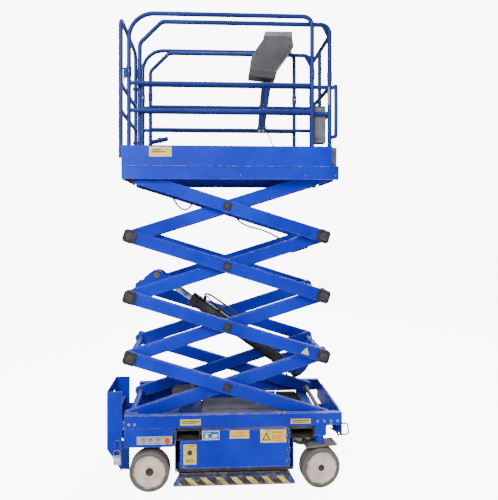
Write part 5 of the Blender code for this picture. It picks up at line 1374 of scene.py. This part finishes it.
def trayDetails():
    low, high = boxOf("tray_cover")
    half = tray["ribHalf"]
    bm = bmesh.new()
    for i in range(tray["ribs"]):
        y = (i - (tray["ribs"] - 1) / 2) * tray["ribStep"]
        addBox(bm, (low.x + 0.05, y - half, high.z - 0.0005), (high.x - 0.05, y + half, high.z + 0.004))
    piece("tray_ribs", bm, "cover", "chassis", 0.0015)
    spots = [(x, y, high.z - 0.0004) for x in (low.x + 0.02, high.x - 0.02) for y in tray["screwY"]]
    nuts("tray_screws", "zinc", "chassis", [(spot, (0, 0, 1)) for spot in spots], 0.007, 0.005)


ladder = {
    "holeHalf": 0.115,
    "holeTall": 0.085,
    "holeZ": [0.300, 0.520],
    "lip": 0.006,
    "web": [(-0.862, 0.300), (-0.862, 0.110), (-0.838, 0.070), (-0.776, 0.066), (-0.776, 0.300)],
}


def ladderDetails():
    rear = boxOf("entry_ladder")[0].x
    half, lip = ladder["holeHalf"], ladder["lip"]
    # A folded lip round each toe hole: below, above and at both sides
    bm = bmesh.new()
    for z0 in ladder["holeZ"]:
        z1 = z0 + ladder["holeTall"]
        for y0, y1, low, high in (
            (-half - lip, half + lip, z0 - lip, z0),
            (-half - lip, half + lip, z1, z1 + lip),
            (-half - lip, -half, z0, z1),
            (half, half + lip, z0, z1),
        ):
            addBox(bm, (rear, y0, low), (rear + lip, y1, high))
    piece("toe_hole_lips", bm, "blue", "chassis", 0.0012)
    spots = [(at(-0.815, side * 0.1755, z), (0, side, 0)) for side in (near, far) for z in (0.395, 0.445)]
    nuts("ladder_bolts", "zinc", "chassis", spots, 0.0085, 0.006)
    # A loose ring hangs on the near flange, over a pale tag
    bm = bmesh.new()
    addRing(bm, at(-0.872, -0.190, 0.205), (0, 1, 0), 0.026, 0.0045, 32)
    piece("tag_ring", bm, "zinc", "chassis")
    # Webs that stiffen the ladder's foot, inside its flanges
    webs = [(ladder["web"], side * 0.1748, side * 0.1710) for side in (near, far)]
    plates("ladder_webs", "shade", "chassis", webs, 0.0008)
    label("ladder_tag", -0.905, -0.846, 0.105, 0.182, "white", y=-0.1772)


doorLabels()
doorHardware()
controlPanel()
chassisHardware()
bayContents()
trayDetails()
ladderDetails()
print("chassis detailed")


wheels = {
    "radius": 0.1525,
    "width": 0.100,
    "tyreDepth": 0.034,
    "shoulder": 0.012,
    "bore": 0.0226,
    "dish": 0.030,
    "hub": {"front": 0.0235, "rear": 0.030},
    "steer": {"front": math.radians(8), "rear": 0.0},
    "nuts": 5,
}


def tyreProfile(half, big, inner):
    edge = wheels["shoulder"]
    arc = [math.radians(15 * i) for i in range(7)]
    profile = [(inner, -half + 0.004), (big - 0.013, -half)]
    profile += [(big - edge + edge * math.sin(a), -half + edge - edge * math.cos(a)) for a in arc]
    profile += [(big - edge + edge * math.sin(a), half - edge + edge * math.cos(a)) for a in arc[::-1]]
    # A moulded line runs round the side wall
    return profile + [
        (big - 0.013, half), (big - 0.022, half - 0.001), (big - 0.0235, half - 0.003),
        (big - 0.026, half - 0.003), (big - 0.0275, half - 0.0012), (inner, half - 0.004),
    ]


def discProfile(half, rim, face):
    bore, dish = wheels["bore"], wheels["dish"]
    return [
        (bore, -half + 0.055), (rim * 0.7, -half + 0.050), (rim - 0.010, -half + 0.010),
        (rim, -half + 0.006), (rim, half - 0.006), (rim - 0.004, half - 0.004), (rim - 0.009, half - 0.006),
        (rim - 0.014, face - 0.002), (rim - 0.020, face - 0.005), (dish + 0.040, face - 0.004),
        (dish + 0.026, face - 0.001), (dish + 0.018, face), (bore, face),
    ]


def makeWheel(ends, side):
    name = f"{ends}_{sideWord[side]}"
    body = f"{ends}_wheel_{sideWord[side]}"
    centre = middleOf(f"tyre_{name}")
    centre.z = wheels["radius"]
    turn = wheels["steer"][ends]
    out = Vector((-math.sin(turn), math.cos(turn), 0.0)) * side
    look = radialDirt(f"wheel_dirt_{name}", wheelDirt, centre)
    half = wheels["width"] / 2
    face = half - 0.012
    big, inner = wheels["radius"], wheels["radius"] - wheels["tyreDepth"]
    bm = bmesh.new()
    addTurned(bm, tyreProfile(half, big, inner), centre, out, 96)
    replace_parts(piece(f"solid_tyre_{name}", bm, look, body), f"tyre_{name}")
    bm = bmesh.new()
    addTurned(bm, discProfile(half, inner - 0.0003, face), centre, out, 96)
    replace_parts(piece(f"wheel_disc_{name}", bm, look, body), f"wheel_{name}")
    # A worn dark cap with a hexagon and screws, larger at the rear wheels
    bm = bmesh.new()
    hub = wheels["hub"][ends]
    start = centre + out * (face - 0.001)
    cap = [(0.002, 0.0), (hub, 0.0), (hub, 0.006), (hub - 0.003, 0.0085), (hub * 0.72, 0.009), (0.002, 0.009)]
    addTurned(bm, cap, start, out, 40)
    addCylinder(bm, start + out * 0.004, start + out * 0.0105, hub * 0.60, 6)
    across = out.orthogonal().normalized()
    up = out.cross(across)
    for i in range(wheels["nuts"]):
        a = 2 * math.pi * i / wheels["nuts"] + 0.3
        spot = centre + (across * math.cos(a) + up * math.sin(a)) * (hub * 0.80) + out * (face + 0.0075)
        addCylinder(bm, spot, spot + out * 0.0022, 0.0030, 8)
    piece(f"hub_cap_{name}", bm, "pin", body)


for side in (near, far):
    for ends in ("rear", "front"):
        makeWheel(ends, side)

kingpin = {"x": 0.715, "y": 0.330, "boltX": 0.095, "boltY": 0.034}


def kingpins():
    turn = Matrix.Rotation(wheels["steer"]["front"], 3, "Z")
    washer = [(0.021, 0.0), (0.040, 0.0), (0.040, 0.003), (0.021, 0.003)]
    for side in (near, far):
        x, y = kingpin["x"], side * kingpin["y"]
        bm = bmesh.new()
        addTurned(bm, washer, at(x, y, 0.3325), (0, 0, 1), 36)
        for dx in (-kingpin["boltX"], kingpin["boltX"]):
            for dy in (-kingpin["boltY"], kingpin["boltY"]):
                addHexNut(bm, at(x, y, 0.332) + turn @ Vector((dx, dy, 0)), (0, 0, 1), 0.007, 0.0045)
        piece(f"yoke_bolts_{sideWord[side]}", bm, "greyIron", f"knuckle_{sideWord[side]}")


kingpins()
print("wheels made")


stage = {
    "floor": (0.80, 0.80, 0.80),
    "world": (1.0, 1.0, 1.0),
    "worldPower": 0.26,
    "backdrop": 9.0,
    "floorGlow": 8.2,
}
# Name, place, what it points at, size and power
lamps = [
    ("key", (-2.2, -5.6, 5.6), (0, 0, 1.6), 3.4, 720),
    ("fill", (4.5, -4.0, 3.0), (0, 0, 1.6), 4.0, 90),
    ("top", (0.5, 0.5, 8.0), (0, 0, 1.0), 3.0, 380),
    ("back", (2.5, 5.8, 5.0), (0, 0, 1.6), 3.4, 420),
]
lens = {
    "length": 31.39,
    "shiftX": 0.0428,
    "shiftY": -0.0482,
    "place": (-0.1447, -3.687, 2.0116),
    "turn": -0.0435,
}


def studio():
    bm = bmesh.new()
    bmesh.ops.create_grid(bm, x_segments=2, y_segments=2, size=40)
    mesh = bpy.data.meshes.new("floor")
    bm.to_mesh(mesh)
    bm.free()
    floor = bpy.data.objects.new("floor", mesh)
    bpy.context.scene.collection.objects.link(floor)
    mat, tree, shader = newMaterial("pale_floor")
    shader.inputs["Base Color"].default_value = (*stage["floor"], 1)
    shader.inputs["Roughness"].default_value = 0.9
    # The backdrop glows for the camera only, so it stays white and casts nothing on the machine
    shader.inputs["Emission Color"].default_value = (1, 1, 1, 1)
    seen = node(tree, "ShaderNodeLightPath").outputs["Is Camera Ray"]
    tree.links.new(times(tree, seen, stage["floorGlow"]), shader.inputs["Emission Strength"])
    mesh.materials.append(mat)
    world = bpy.data.worlds.new("soft_white")
    world.use_nodes = True
    tree = world.node_tree
    back = tree.nodes["Background"]
    back.inputs["Color"].default_value = (*stage["world"], 1)
    seen = node(tree, "ShaderNodeLightPath").outputs["Is Camera Ray"]
    extra = times(tree, seen, stage["backdrop"] - stage["worldPower"])
    tree.links.new(maths(tree, "ADD", extra, stage["worldPower"]), back.inputs["Strength"])
    bpy.context.scene.world = world


def areaLight(name, place, aim, size, power):
    data = bpy.data.lights.new(name, "AREA")
    data.energy = power
    data.size = size
    light = bpy.data.objects.new(name, data)
    bpy.context.scene.collection.objects.link(light)
    light.location = place
    light.rotation_euler = (Vector(aim) - Vector(place)).to_track_quat("-Z", "Y").to_euler()


def camera():
    data = bpy.data.cameras.new("camera")
    data.sensor_width = 36.0
    data.lens = lens["length"]
    data.shift_x = lens["shiftX"]
    data.shift_y = lens["shiftY"]
    data.clip_end = 200
    view = bpy.data.objects.new("camera", data)
    bpy.context.scene.collection.objects.link(view)
    view.location = at(*lens["place"])
    view.rotation_euler = (math.radians(90), 0, lens["turn"])
    bpy.context.scene.camera = view


studio()
for lamp in lamps:
    areaLight(*lamp)
camera()
print("stage set")
